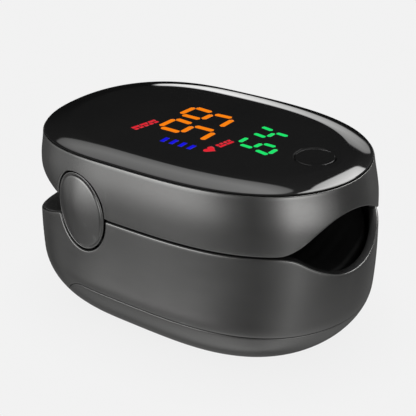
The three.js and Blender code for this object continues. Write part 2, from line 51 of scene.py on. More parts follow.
def mesh_object(name, verts, faces, mats, face_mat=None, smooth=True, sharp_deg=None):
    me = bpy.data.meshes.new(name)
    me.from_pydata([tuple(v) for v in W(verts)], [], [tuple(int(i) for i in f) for f in faces])
    me.update()
    for m in mats:
        me.materials.append(m)
    if face_mat is not None:
        me.polygons.foreach_set("material_index", np.asarray(face_mat, np.int32))
    bm = bmesh.new(); bm.from_mesh(me)
    bmesh.ops.remove_doubles(bm, verts=bm.verts, dist=1e-7)
    bmesh.ops.dissolve_degenerate(bm, dist=1e-8, edges=bm.edges)
    bmesh.ops.recalc_face_normals(bm, faces=bm.faces)
    for f in bm.faces:
        f.smooth = smooth
    if sharp_deg is not None:
        lim = math.radians(sharp_deg)
        for e in bm.edges:
            if len(e.link_faces) == 2 and e.calc_face_angle(0) > lim:
                e.smooth = False
    bm.to_mesh(me); bm.free()
    ob = bpy.data.objects.new(name, me)
    bpy.context.scene.collection.objects.link(ob)
    return ob

class Builder:
    """Collects closed lumps into one mesh."""
    def __init__(self):
        self.v, self.f, self.m, self.n = [], [], [], 0
    def add(self, v, f, mat=0):
        v = np.asarray(v, float)
        self.v.append(v)
        self.f += [tuple(int(i) + self.n for i in q) for q in f]
        self.m += list(mat) if isinstance(mat, (list, tuple)) else [mat] * len(f)
        self.n += len(v)
    def make(self, name, mats, **k):
        return mesh_object(name, np.concatenate(self.v), self.f, mats, self.m, **k)

def spline(xs, ys):
    """Natural cubic through the points, as a function."""
    xs, ys = np.asarray(xs, float), np.asarray(ys, float)
    n = len(xs); h = np.diff(xs)
    A = np.eye(n); b = np.zeros(n)
    for i in range(1, n - 1):
        A[i, i - 1], A[i, i], A[i, i + 1] = h[i - 1], 2 * (h[i - 1] + h[i]), h[i]
        b[i] = 6 * ((ys[i + 1] - ys[i]) / h[i] - (ys[i] - ys[i - 1]) / h[i - 1])
    m = np.linalg.solve(A, b)
    def f(q):
        q = np.asarray(q, float)
        c = np.clip(q, xs[0], xs[-1])
        i = np.clip(np.searchsorted(xs, c) - 1, 0, n - 2)
        d, hh = c - xs[i], h[i]
        return ys[i] + d * ((ys[i + 1] - ys[i]) / hh - hh * (2 * m[i] + m[i + 1]) / 6) + d * d * m[i] / 2 + d ** 3 * (m[i + 1] - m[i]) / (6 * hh)
    return f

# ------------------------------------------------------------------ outlines of the body
RIM, TOP, WALL = 10.1, 11.2, 1.5
HX, CRX, CRZ = -12.7, 5.3, 6.85
COX, COZ = 0.53, 0.12                     # the cap's oval sits a little forward of the hinge line
ARC = lambda x: -0.33 * (np.asarray(x) / 29.25) ** 2      # the crown line drops towards both ends
pr_front = spline([0, 2.9, 4.4, 5.85, 7.3, 8.8, 10.1], [1.1, 1.06, 0.98, 0.78, 0.5, 0.21, 0])
pr_rear = spline([0, 2.9, 4.4, 5.85, 7.3, 8.8, 10.1], [1.15, 1.12, 1.08, 0.93, 0.6, 0.23, 0])
pr_side = spline([0, 2.9, 4.4, 5.85, 7.3, 8.8, 10.1], [0.27, 0.35, 0.345, 0.3, 0.215, 0.1, 0])
TH = np.linspace(0, 2 * np.pi, 2401)

def ring(front, rear, half, pf, pr, qf, qr, xm, n):
    c = np.cos(TH); s = np.sin(TH)
    f = c >= 0
    p, q = np.where(f, pf, pr), np.where(f, qf, qr)
    a = np.where(f, front - xm, rear + xm)
    x = xm + a * c
    y = half * np.sign(s) * np.maximum(1 - np.abs(c) ** p, 0) ** (1 / q)
    L = np.concatenate([[0], np.cumsum(np.hypot(np.diff(x), np.diff(y)))])
    t = np.linspace(0, L[-1], n + 1)[:-1]
    return np.interp(t, L, x), np.interp(t, L, y), L[-1]

def upper_ring(z, inset, n):
    return ring(29.25 + float(pr_front(z)) - inset, 29.25 + float(pr_rear(z)) - inset, 18.43 + float(pr_side(z)) - inset, 3.343, 2.683, 2.013, 2.183, -6.405, n)

def lower_ring(z, rounding, n):
    u = max((-2.925 - z) / 13.65, 0); w = min(u, 1.3)
    return ring(29.25 + 1.29 - 1.246 * u * u - rounding, 29.25 + 2.536 - 2.274 * u * u - rounding, 18.43 + 0.25 + 0.75 * u * u - rounding,
                3.343 + .168 * w, 2.683 + .072 * w, 2.013, 2.183 + .883 * w, -6.405 + .616 * w, n)

class Skin:
    """Outer surface as a grid over s (0..1 round the outline) and t (down or up the wall)."""
    NS = 1600
    def __init__(self, ts, rows):
        self.ts = np.asarray(ts, float)
        X, Y, Z = [], [], []
        for x, y, z in rows:
            X.append(x); Y.append(y); Z.append(np.full(len(x), z) if np.isscalar(z) else z)
        P = np.stack([np.array(X), np.array(Y), np.array(Z)], -1)
        self.P = P
        ds = (np.roll(P, -1, 1) - np.roll(P, 1, 1))
        dt = np.gradient(P, self.ts, axis=0)
        N = np.cross(ds, dt)
        N /= np.maximum(np.linalg.norm(N, axis=-1, keepdims=True), 1e-12)
        out = P.copy(); out[..., 2] = 0; out[..., 0] += 0
        if (N[..., :2] * P[..., :2]).sum() < 0:
            N = -N
        self.N = N
        self.Ps = ds * (self.NS / 2.0)         # dP/ds
        self.Pt = dt
    def _look(self, G, s, t):
        s = np.mod(s, 1.0) * self.NS
        i = np.floor(s).astype(int) % self.NS; j = (i + 1) % self.NS; a = (s - np.floor(s))[..., None]
        tt = np.clip(t, self.ts[0], self.ts[-1])
        k = np.clip(np.searchsorted(self.ts, tt, side="right") - 1, 0, len(self.ts) - 2)
        b = ((tt - self.ts[k]) / (self.ts[k + 1] - self.ts[k]))[..., None]
        return (G[k, i] * (1 - a) + G[k, j] * a) * (1 - b) + (G[k + 1, i] * (1 - a) + G[k + 1, j] * a) * b
    def pos(self, s, t):
        return self._look(self.P, np.asarray(s, float), np.asarray(t, float))
    def nor(self, s, t):
        n = self._look(self.N, np.asarray(s, float), np.asarray(t, float))
        return n / np.maximum(np.linalg.norm(n, axis=-1, keepdims=True), 1e-12)
    def metric(self, s, t):
        return self._look(self.Ps, s, t), self._look(self.Pt, s, t)

NS = Skin.NS
zs_up = np.linspace(-0.3, RIM, 140)
rows = []
for z in zs_up:
    x, y, _ = upper_ring(max(z, 0), 0, NS)
    rows.append((x, y, z + ARC(x) * np.clip((z - 2) / (RIM - 2), 0, 1) ** 1.5))
upper = Skin(zs_up, rows)
PERIM = upper_ring(0, 0, NS)[2]

ts_lo = np.concatenate([np.linspace(-0.04, 1, 90)[:-1], np.linspace(1, 2, 90)])
rows = []
for t in ts_lo:
    if t <= 1:
        z, rd = -12.5 * t, 0.0
    else:
        ph = (t - 1) * math.pi / 2
        z, rd = -12.5 - 9.55 * math.sin(ph), 8.77 * (1 - math.cos(ph))
    x, y, _ = lower_ring(z, rd, NS)
    rows.append((x, y, z))
lower = Skin(ts_lo, rows)
lower.N[-1] = np.array([0, 0, -1.0])
def z_of_t(t):
    t = np.asarray(t, float)
    return np.where(t <= 1, -12.5 * t, -12.5 - 9.55 * np.sin(np.clip(t - 1, 0, 1) * np.pi / 2))
def t_of_z(z):
    z = np.asarray(z, float)
    return np.where(z >= -12.5, -z / 12.5, 1 + np.arcsin(np.clip((-12.5 - z) / 9.55, 0, 1)) * 2 / np.pi)

# ------------------------------------------------------------------ edges of the two shells
def mirror_curve(pts):
    a = np.array(pts, float)
    ys = np.concatenate([-a[:, 0], a[::-1][1:, 0]]); zs = np.concatenate([a[:, 1], a[::-1][1:, 1]])
    return spline(ys, zs)
ARCH = [(-14.6, .15), (-13.8, .15), (-13.1, .24), (-12.6, .46), (-12.0, .88), (-11.2, 1.55), (-9.96, 2.8), (-8.35, 4.15), (-6.45, 5.2), (-4.6, 5.65), (-3.0, 5.7), (-1.2, 5.45), (0.6, 4.9),
        (2.4, 4.05), (4.2, 3.05), (6.0, 2.0), (7.6, 1.12), (8.8, .6), (9.8, .3), (10.8, .16), (12, .15), (14.6, .15)]
NOTCH = [(-15.4, -.15), (-14.2, -.15), (-13.4, -.17), (-12.8, -.26), (-12.1, -.52), (-11.2, -1.25), (-10, -2.3), (-8.7, -3.15), (-7.1, -3.98), (-5.2, -4.6), (-3.2, -4.8), (-1.2, -4.7), (.8, -4.35),
         (2.8, -3.7), (4.8, -2.8), (6.6, -1.85), (8.2, -1.05), (9.6, -.5), (11, -.22), (12.4, -.15), (15.4, -.15)]
arch, notch = spline(*zip(*ARCH)), spline(*zip(*NOTCH))
def upper_base(x, y):
    z = np.full_like(x, 0.15)
    f = (x > 8) & (np.abs(y) < 14.5)
    z = np.where(f, np.maximum(arch(np.clip(y, -14.5, 14.5)), 0.15), z)
    return np.where(x < -13.7, np.maximum(z, -0.344 * (x + 13.7)), z)
def lower_base(x, y):
    z = np.full_like(x, -0.15)
    f = (x > 8) & (np.abs(y) < 15.3)
    z = np.where(f, np.minimum(notch(np.clip(y, -15.3, 15.3)), -0.15), z)
    return np.where(x < -12.2, np.minimum(z, 0.373 * (x + 12.2)), z)
def oval_r(th, lift=0.35, up=True):
    """Distance from the hinge line to the recess's edge, by angle above (or below) the parting plane."""
    a, b = CRX + lift, CRZ + lift
    cz = COZ if up else -COZ
    ca, sa = np.cos(th), np.sin(th)
    A = (ca / a) ** 2 + (sa / b) ** 2
    B = COX * ca / a ** 2 + cz * sa / b ** 2
    Cc = (COX / a) ** 2 + (cz / b) ** 2 - 1
    return (B + np.sqrt(B * B - A * Cc)) / A
def sweep_r(th):
    return np.max([oval_r(th + math.radians(d)) for d in range(0, 26)], axis=0)

def edge_loop(skin, base, t_of, up, gauss=0.2):
    """(s, t) of the jaw's free edge, with the cap's recess, corners rounded."""
    n = 4000
    s = np.arange(n) / n
    t = t_of(np.full(n, 0.0))
    for _ in range(12):
        p = skin.pos(s, t)
        t = t_of(base(p[:, 0], p[:, 1]))
    z = base(p[:, 0], p[:, 1])
    pts = []
    x_line = p[:, 0]; near = p[:, 1] < 0
    keep = np.ones(n, bool)
    th = np.linspace(0, np.pi, 400)
    R = sweep_r(th) if up else oval_r(th, up=False)
    ox, oz = HX + R * np.cos(th), R * np.sin(th) * (1 if up else -1)
    # base line inside the oval?
    ang = np.arctan2(np.abs(z), x_line - HX)
    rr = np.hypot(x_line - HX, z)
    Rb = (sweep_r(ang) if up else oval_r(ang, up=False))
    inside = (rr < Rb)
    # oval points beyond the base line
    segs = []
    for side in (+1, -1):
        idx = np.where((p[:, 1] * side > 0) & inside)[0]
        lo_s, hi_s = s[idx.min()], s[idx.max()]
        # s of each oval point: invert x(s) along this side at its own height
        so = np.full(len(th), 0.5 * (lo_s + hi_s))
        tt = t_of(oz)
        ss = np.linspace(lo_s - 0.03, hi_s + 0.03, 600)
        for k in range(len(th)):
            xx = skin.pos(ss, np.full(600, tt[k]))[:, 0]
            o = np.argsort(xx)
            so[k] = np.interp(ox[k], xx[o], ss[o])
        bx = base(ox, np.full_like(ox, 18.0 * side))
        ok = (oz > bx) if up else (oz < bx)
        so, to = so[ok], tt[ok]
        o = np.argsort(so)
        segs.append((idx.min(), idx.max(), so[o], to[o]))
    segs.sort(key=lambda q: q[0])
    S, T = [], []
    at = 0
    for a, b, so, to in segs:
        S += list(s[at:a]); T += list(t[at:a]); S += list(so); T += list(to); at = b + 1
    S += list(s[at:]); T += list(t[at:])
    S, T = np.array(S), np.array(T)
    return smooth_loop(skin, S, T, gauss)

def smooth_loop(skin, S, T, gauss, closed=True):
    q = skin.pos(S, T)
    L = np.concatenate([[0], np.cumsum(np.linalg.norm(np.diff(np.vstack([q, q[:1]]), axis=0), axis=1))])
    m = int(L[-1] / 0.04)
    g = np.arange(m) / m * L[-1]
    S2 = np.interp(g, L, np.append(S, S[0] + 1.0)); T2 = np.interp(g, L, np.append(T, T[0]))
    k = np.arange(-40, 41); wgt = np.exp(-0.5 * (k * 0.04 / gauss) ** 2); wgt /= wgt.sum()
    def conv(a, wrap):
        ext = np.concatenate([a[-40:] - wrap, a, a[:40] + wrap])
        return np.convolve(ext, wgt, "valid")
    return conv(S2, 1.0), conv(T2, 0.0)

def pick(skin, S, T, base_step, fine):
    """Columns along the edge: closer where the edge bends."""
    q = skin.pos(S, T)
    d = np.linalg.norm(np.roll(q, -1, 0) - q, axis=1)
    e = np.roll(q, -1, 0) - q; e /= np.maximum(np.linalg.norm(e, axis=1, keepdims=True), 1e-9)
    bend = np.linalg.norm(np.roll(e, -6, 0) - np.roll(e, 6, 0), axis=1) / (d.mean() * 12)   # per mm
    k = np.ones(31) / 31
    ext = np.concatenate([bend[-15:], bend, bend[:15]])
    bend = np.convolve(ext, k, "valid")
    dens = 1 / np.clip(0.16 / np.maximum(bend, 1e-4), fine, base_step)
    c = np.concatenate([[0], np.cumsum(dens * d)])
    n = int(round(c[-1])); n += n % 2
    g = np.arange(n) / n * c[-1]
    Se = np.append(S, S[0] + 1.0); Te = np.append(T, T[0])
    return np.interp(g, c, Se), np.interp(g, c, Te)

def even(s, sigma=14.0, least=0.0):
    """Column fractions with the bunching at the recess smoothed out and always increasing."""
    k = np.arange(-60, 61); w = np.exp(-0.5 * (k / sigma) ** 2); w /= w.sum()
    e = np.convolve(np.concatenate([s[-60:] - 1.0, s, s[:60] + 1.0]), w, "valid")
    d = np.maximum(np.diff(np.append(e, e[0] + 1.0)), 0.06 / len(s))
    d /= d.sum()
    out = e[0] + np.concatenate([[0], np.cumsum(d[:-1])])
    return out + np.mean(e - out)

def in_surface(skin, s, t, sign):
    """Unit direction (ds, dt per mm) from the edge into the wall."""
    a = np.roll(skin.pos(s, t), -1, 0) - np.roll(skin.pos(s, t), 1, 0)
    a /= np.linalg.norm(a, axis=1, keepdims=True)
    n = skin.nor(s, t)
    m = np.cross(n, a) * sign
    Ps, Pt = skin.metric(s, t)
    A = np.einsum("ij,ij->i", Ps, Ps); B = np.einsum("ij,ij->i", Ps, Pt); C = np.einsum("ij,ij->i", Pt, Pt)
    u = np.einsum("ij,ij->i", m, Ps); v = np.einsum("ij,ij->i", m, Pt)
    det = A * C - B * B
    return (C * u - B * v) / det, (A * v - B * u) / det

def strip(skin, s0, t0, ds, dt, sT, tT, flat, spec_out, spec_in, fillet=0.3, M=140):
    """Columns from the edge (s0, t0) to (sT, tT), then over the flat belly to flat (xyz) where given.
    Returns pos(frac or distance) samplers."""
    n = len(s0)
    e = np.linspace(0, fillet, 7)
    S = s0[:, None] + ds[:, None] * e; T = t0[:, None] + dt[:, None] * e
    k = np.linspace(0, 1, M + 1)[1:]
    S2 = S[:, -1:] * (1 - k) + sT[:, None] * k
    T2 = T[:, -1:] * (1 - k) + tT[:, None] * k
    S = np.concatenate([S, S2], 1); T = np.concatenate([T, T2], 1)
    P = skin.pos(S, T); N = skin.nor(S, T)
    if flat is not None:
        k = np.linspace(0, 1, 61)[1:, None]
        Q = P[:, -1:, :] * (1 - k) + flat[:, None, :] * k
        P = np.concatenate([P, Q], 1)
        N = np.concatenate([N, np.broadcast_to(np.array([0, 0, -1.0]), Q.shape)], 1)
    L = np.concatenate([np.zeros((n, 1)), np.cumsum(np.linalg.norm(np.diff(P, axis=1), axis=2), axis=1)], 1)
    tot = L[:, -1]
    def at(dist, depth):
        R = np.zeros((n, 3)); NN = np.zeros((n, 3))
        for c in range(n):
            for a in range(3):
                R[c, a] = np.interp(dist[c], L[c], P[c, :, a]); NN[c, a] = np.interp(dist[c], L[c], N[c, :, a])
        NN /= np.linalg.norm(NN, axis=1, keepdims=True)
        return R - NN * depth
    m = S.shape[1]
    at.par = lambda dist: np.array([[np.interp(dist[c], L[c, :m], S[c]), np.interp(dist[c], L[c, :m], T[c])] for c in range(n)])
    return at, tot

def relax(g, rounds=500):
    """Spreads the (s, t) grid of a wall evenly between its first and last rows."""
    g = g.copy()
    for _ in range(rounds):
        a = np.roll(g, 1, 1); a[:, 0, 0] -= 1.0
        b = np.roll(g, -1, 1); b[:, -1, 0] += 1.0
        g[1:-1] = 0.25 * (g[:-2] + g[2:] + a[1:-1] + b[1:-1])
    return g

def torus_faces(nrow, ncol):
    f = []
    for r in range(nrow):
        r2 = (r + 1) % nrow
        for c in range(ncol):
            c2 = (c + 1) % ncol
            f.append((r * ncol + c, r * ncol + c2, r2 * ncol + c2, r2 * ncol + c))
    return f

def fillet_rows(r, depth0, depth1, n=5):
    """(distance from the edge, depth) from the outer skin over a rolled edge."""
    a = np.linspace(0, np.pi / 2, n)
    return [(r * (1 - math.sin(x)), r * (1 - math.cos(x))) for x in a]

# ------------------------------------------------------------------ upper shell
EO, RO, RI = 0.0, 0.26, 0.15
S, T = edge_loop(upper, upper_base, lambda z: np.asarray(z, float), True)
uS, uT = pick(upper, S, T, 0.75, 0.2)
ds, dt = in_surface(upper, uS, uT, 1.0)
if np.mean(dt) < 0: ds, dt = -ds, -dt
def side_s(skin, side):
    ss = np.linspace(0.02, 0.48, 900) if side > 0 else np.linspace(0.52, 0.98, 900)
    x = skin.pos(ss, np.full(900, 1.0))[:, 0]
    return ss[np.argmin(np.abs(x - HX))]
def lean(s, skin, amount, width):
    d = np.zeros_like(s)
    for side in (1, -1):
        c = side_s(skin, side)
        tau = ((s - c + 0.5) % 1.0 - 0.5) * PERIM / width
        d += amount / PERIM * tau * np.exp(0.5 * (1 - tau ** 2))
    return s + d
sT = lean(even(uS), upper, 1.7, 6.4); tT = np.full_like(sT, RIM)
at, tot = strip(upper, uS, uT, ds, dt, sT, tT, None, None, None)
rows = []
one = np.ones(len(uS))
for d, dep in fillet_rows(RO, 0, 0, 6)[::1]:
    rows.append(at(one * d, dep))                       # from the outer wall round to the rim face
for dep in (0.6, 1.0, WALL - RI):
    rows.append(at(one * 0.0, dep))
rows.append(at(one * RI * 0.3, WALL - RI * 0.3)); rows.append(at(one * RI, WALL))
for f in np.linspace(0.06, 1, 9)[:-1]:
    rows.append(at(RI + (tot - RI - 0.1) * f, WALL))
rows.append(at(tot - 0.1, WALL)); rows.append(at(tot, WALL - 0.1)); rows.append(at(tot, 0.8))
rt = 0.14
for d, dep in fillet_rows(rt, 0, 0, 5)[::-1]:
    rows.append(at(tot - d, dep))
fr = np.concatenate([np.linspace(0.04, 1, 17)[:-1]])[::-1]
grid = relax(np.stack([at.par(RO + (tot - rt - RO) * f) for f in np.concatenate([[1.0], fr, [0.0]])]))
for g in grid[1:-1]:
    rows.append(upper.pos(g[:, 0], g[:, 1]))
def wall_mats(nrow, ncol, first, last):
    """The outer faces take finish 0, the rim and the inside finish 1."""
    return [1 if first <= r <= last else 0 for r in range(nrow) for c in range(ncol)]
ub = Builder(); ub.add(np.concatenate(rows), torus_faces(len(rows), len(uS)), wall_mats(len(rows), len(uS), 5, 20))
UPPER_RINGROWS = len(rows)

def slab(outline_xy, z_top, z_low, n_in=6, edge=0.12):
    """Closed slab with rolled rims: outline (n,2), heights as functions of (x, y)."""
    o = np.asarray(outline_xy, float); n = len(o)
    c = o.mean(0)
    def shr(k): return c + (o - c) * k
    r = np.hypot(*(o - c).T).mean()
    rings = []
    def ringz(k, fz, off): 
        q = shr(k); rings.append(np.column_stack([q, fz(q[:, 0], q[:, 1]) + off]))
    for k in (0.25, 0.5, 0.75, 0.92): ringz(k, z_low, 0)
    ringz(1 - edge / r, z_low, 0); ringz(1, z_low, edge); ringz(1, z_top, -edge); ringz(1 - 0.3 * edge / r, z_top, -0.3 * edge); ringz(1 - edge / r, z_top, 0)
    for k in (0.92, 0.75, 0.5, 0.25): ringz(k, z_top, 0)
    v = np.concatenate(rings); f = []
    for i in range(len(rings) - 1):
        for k in range(n):
            k2 = (k + 1) % n
            f.append((i * n + k, i * n + k2, (i + 1) * n + k2, (i + 1) * n + k))
    v = np.vstack([v, [c[0], c[1], float(z_low(c[0], c[1]))], [c[0], c[1], float(z_top(c[0], c[1]))]])
    for k in range(n):
        k2 = (k + 1) % n
        f.append((len(v) - 2, k2, k)); f.append((len(v) - 1, (len(rings) - 1) * n + k, (len(rings) - 1) * n + k2))
    return v, f

def deck_outline(skin, t_of, base, x_front, inset, n=120):
    s = np.linspace(0.25, 0.75, 1600); t = t_of(np.full(1600, 2.0 * (1 if base is upper_base else -1)))
    for _ in range(8):
        p = skin.pos(s, t); t = t_of(base(p[:, 0], p[:, 1]))
    q = p - skin.nor(s, t) * inset
    q = q[q[:, 0] < x_front]
    L = np.concatenate([[0], np.cumsum(np.linalg.norm(np.diff(q[:, :2], axis=0), axis=1))])
    g = np.linspace(0, L[-1], n)
    a = np.column_stack([np.interp(g, L, q[:, 0]), np.interp(g, L, q[:, 1])])
    b = np.linspace(a[-1], a[0], 34)[1:-1]
    return np.vstack([a, b])
o = deck_outline(upper, lambda z: np.asarray(z, float), upper_base, -17.4, 0.42)
v, f = slab(o, lambda x, y: -0.344 * (x + 13.7) + 1.3, lambda x, y: -0.344 * (x + 13.7) - 0.015)
ub.add(v, f)

# ------------------------------------------------------------------ lower shell and battery cover
S, T = edge_loop(lower, lower_base, t_of_z, False)
lS, lT = pick(lower, S, T, 0.75, 0.2)
ds, dt = in_surface(lower, lS, lT, 1.0)
if np.mean(dt) < 0: ds, dt = -ds, -dt
BELLY = -22.05
def rear_line(g):
    """Seam's run down the flank behind: x as a function of z."""
    x0 = -14.6 + g
    return spline([-22.1, -20.3, -18.6, -16.9, -15.6, -14.9 - g * 0.5], [x0 - 5.05, x0 - 4.68, x0 - 4.1, x0 - 2.95, x0 - 1.7, x0 - 0.7])
def seam_points(g, n=2600):
    """Seam as a loop of (s, t, x, y, z) with the flank corner rounded; t stays 2 on the belly."""
    z0 = -14.2 - g; line = rear_line(g)
    tz = float(t_of_z(z0))
    out = []
    s = np.linspace(0, 0.5, 3000)
    x = lower.pos(s, np.full(3000, tz))[:, 0]
    xc = -14.6 + g + 0.9
    s_hi = np.interp(-xc, -x, s)
    a = np.linspace(0, s_hi, 700)
    S1, T1 = a, np.full(700, tz)
    # down the flank
    zz = np.linspace(-14.9 - g * 0.5, -22.05, 240)
    ta = t_of_z(zz); S2 = []
    for t, zq in zip(ta, zz):
        xx = lower.pos(s, np.full(3000, t))[:, 0]
        S2.append(np.interp(-float(line(zq)), -xx, s))
    S2 = np.array(S2)
    return S1, T1, S2, ta
def seam_loop(g):
    S1, T1, S2, T2 = seam_points(g)
    q1, q2 = lower.pos(S1, T1), lower.pos(S2, T2)
    S = np.concatenate([S1, S2]); T = np.concatenate([T1, T2]); Q = np.vstack([q1, q2])
    L = np.concatenate([[0], np.cumsum(np.linalg.norm(np.diff(Q, axis=0), axis=1))])
    m = int(L[-1] / 0.05); gq = np.linspace(0, L[-1], m)
    S, T = np.interp(gq, L, S), np.interp(gq, L, T)
    k = np.arange(-30, 31); w = np.exp(-0.5 * (k * 0.05 / 0.55) ** 2); w /= w.sum()
    def conv(a, flip):
        lo = (2 * a[0] - a[1:31][::-1]) if flip else a[1:31][::-1]
        return np.convolve(np.concatenate([lo, a, 2 * a[-1] - a[-31:-1][::-1]]), w, "valid")
    S, T = conv(S, True), np.minimum(conv(T, False), 2.0)
    T[-1] = 2.0
    return S, T                       # from the front's middle to the belly's edge, +y side
sg = 0.06
SS, ST = seam_loop(-sg)
Pend = lower.pos(SS[-1:], np.array([2.0]))[0]

# T curve for every column: by matching arc length on each side
def t_targets(cS, skin_edge_t, SS, ST, xline, yend):
    """For columns at fractions cS (0..1), the target (s, t, flat point)."""
    n = len(cS)
    half = np.where(cS <= 0.5, cS, 1 - cS)        # mirrored to the +y side
    s_end = SS[-1]
    # columns past the break run over the belly to the line x = xline
    s_br = BREAK
    sT, tT = np.zeros(n), np.zeros(n); flat = np.zeros((n, 3))
    q = lower.pos(SS, ST)
    L = np.concatenate([[0], np.cumsum(np.linalg.norm(np.diff(q, axis=0), axis=1))])
    # key pairs: edge fraction -> seam length
    s_flank = SS[np.argmax(ST > ST[0] + 0.03)]
    L_flank = L[np.argmax(ST > ST[0] + 0.03)]
    a = half <= s_br
    key_e = np.array([0, max(s_flank - 0.012, 0.1), s_br]); key_l = np.array([0, np.interp(max(s_flank - 0.012, 0.1), SS[: len(SS) // 2 + 1], L[: len(SS) // 2 + 1]) if False else 0, L[-1]])
    # length at that fraction on the straight run
    run = ST <= ST[0] + 1e-3
    key_l[1] = np.interp(key_e[1], SS[run], L[run])
    lt = np.interp(half, key_e[1:], key_l[1:])
    lt = np.where(half < key_e[1], np.interp(half, SS[run], L[run]), lt)
    sT[a] = np.interp(lt[a], L, SS); tT[a] = np.interp(lt[a], L, ST)
    qa = lower.pos(sT[a], tT[a]); flat[a] = qa
    b = ~a
    # belly edge fraction goes from s_end to 0.5; the line's y from yend to 0
    k = (half[b] - s_br) / (0.5 - s_br)
    sT[b] = s_end + (0.5 - s_end) * k; tT[b] = 2.0
    flat[b] = np.column_stack([np.full(b.sum(), xline), yend * (1 - k), np.full(b.sum(), BELLY)])
    neg = cS > 0.5
    sT = np.where(neg, 1 - sT, sT); flat[neg, 1] *= -1
    return sT, tT, flat
BREAK = 0.40
lE = even(lS)
sT, tT, flat = t_targets(lE % 1.0, None, SS, ST, Pend[0], Pend[1])
sT = sT + np.floor(lE)
at, tot = strip(lower, lS, lT, ds, dt, sT, tT, flat, None, None)
rows = []; one = np.ones(len(lS))
for d, dep in fillet_rows(RO, 0, 0, 6):
    rows.append(at(one * d, dep))
for dep in (0.6, 1.0, WALL - RI):
    rows.append(at(one * 0.0, dep))
rows.append(at(one * RI * 0.3, WALL - RI * 0.3)); rows.append(at(one * RI, WALL))
for f in np.linspace(0.05, 1, 14)[:-1]:
    rows.append(at(RI + (tot - RI - 0.1) * f, WALL))
rows.append(at(tot - 0.1, WALL)); rows.append(at(tot, WALL - 0.1)); rows.append(at(tot, 0.8))
rt = 0.1
for d, dep in fillet_rows(rt, 0, 0, 4)[::-1]:
    rows.append(at(tot - d, dep))
for f in np.linspace(0.03, 1, 27)[:-1][::-1]:
    rows.append(at(RO + (tot - rt - RO) * f, 0.0))
lb = Builder(); lb.add(np.concatenate(rows), torus_faces(len(rows), len(lS)), wall_mats(len(rows), len(lS), 5, 25))
o = deck_outline(lower, t_of_z, lower_base, -16.8, 0.42)
v, f = slab(o, lambda x, y: 0.373 * (x + 12.2) + 0.015, lambda x, y: 0.373 * (x + 12.2) - 1.3)
lb.add(v, f)

# battery cover: seam round to the keel line
SS, ST = seam_loop(+sg)
Pend = lower.pos(SS[-1:], np.array([2.0]))[0]
q = lower.pos(SS, ST)
L = np.concatenate([[0], np.cumsum(np.linalg.norm(np.diff(q, axis=0), axis=1))])
dens = np.interp(SS, [0, 0.03, 0.1, 0.2, SS[-1]], [1.6, 1.9, 1.7, 1.1, 2.4])
c = np.concatenate([[0], np.cumsum(0.5 * (dens[1:] + dens[:-1]) * np.diff(L))])
m1 = int(c[-1]); g = np.linspace(0, c[-1], m1 + 1)
cs, ct = np.interp(g, c, SS), np.interp(g, c, ST)
m2 = 22                                             # half of the belly line behind
line_y = np.linspace(Pend[1], 0, m2 + 1)[1:]
# half loop: front middle -> flank -> belly edge, then along the straight back edge
nh = len(cs)
Ehalf_s = cs; Ehalf_t = ct
def cover_half():
    # direction into the cover
    p = lower.pos(cs, ct)
    a = np.gradient(p, axis=0); a /= np.linalg.norm(a, axis=1, keepdims=True)
    n = lower.nor(cs, ct)
    mdir = np.cross(n, a)
    Ps, Pt = lower.metric(cs, ct)
    if mdir[0, 2] > 0: mdir = -mdir
    A = np.einsum("ij,ij->i", Ps, Ps); B = np.einsum("ij,ij->i", Ps, Pt); C = np.einsum("ij,ij->i", Pt, Pt)
    C = np.maximum(C, 1e-3)
    u = np.einsum("ij,ij->i", mdir, Ps); v = np.einsum("ij,ij->i", mdir, Pt); det = A * C - B * B
    return (C * u - B * v) / det, (A * v - B * u) / det
dsc, dtc = cover_half()
dtc = np.clip(dtc, -1, 1)
M1, M2 = 110, 50
k = np.linspace(0, 1, M1 + 1)
# flank columns: down the wall to the belly's edge, a little forward of the seam point
front_shift = np.interp(np.arange(nh), [0, nh * 0.55, nh - 1], [0, 0, 1])
s_end = cs[-1]
s_t2 = np.minimum(cs, s_end) - 0.0
# spread the belly-edge targets evenly between the front and the seam's end
x2 = lower.pos(np.linspace(0, s_end, 400), np.full(400, 2.0))
L2 = np.concatenate([[0], np.cumsum(np.linalg.norm(np.diff(x2, axis=0), axis=1))])
s_t2 = np.interp(np.linspace(0, 1, nh) ** 1.0 * 0 + np.interp(cs, [0, s_end], [0, 1]) * 0 + (np.interp(g, [g[0], g[-1]], [0, 1])) * L2[-1], L2, np.linspace(0, s_end, 400))
# keep the front columns straight down
wgt = np.clip((cs - 0.28) / 0.1, 0, 1); wgt = wgt * wgt * (3 - 2 * wgt)
straight = np.minimum(cs, s_end * 0.985)
s_t2 = straight * (1 - wgt) + s_t2 * wgt
s_t2 = np.maximum.accumulate(s_t2); s_t2[-1] = s_end
fil = 0.2
Sg = cs[:, None] + dsc[:, None] * np.linspace(0, fil, 5); Tg = ct[:, None] + dtc[:, None] * np.linspace(0, fil, 5)
Tg = np.minimum(Tg, 2.0)
Sg = np.concatenate([Sg, Sg[:, -1:] * (1 - k[1:]) + s_t2[:, None] * k[1:]], 1)
Tg = np.concatenate([Tg, Tg[:, -1:] * (1 - k[1:]) + 2.0 * k[1:]], 1)
P = lower.pos(Sg, Tg); N = lower.nor(Sg, Tg)
edge2 = P[:, -1, :]
keel_x = np.clip(edge2[:, 0], Pend[0] + 0.6, 15.5)
keel = np.column_stack([keel_x, np.zeros(nh), np.full(nh, BELLY)])
kk = np.linspace(0, 1, M2 + 1)[1:, None]
Q = P[:, -1:, :] * (1 - kk) + keel[:, None, :] * kk
P = np.concatenate([P, Q], 1); N = np.concatenate([N, np.broadcast_to([0, 0, -1.0], Q.shape)], 1)
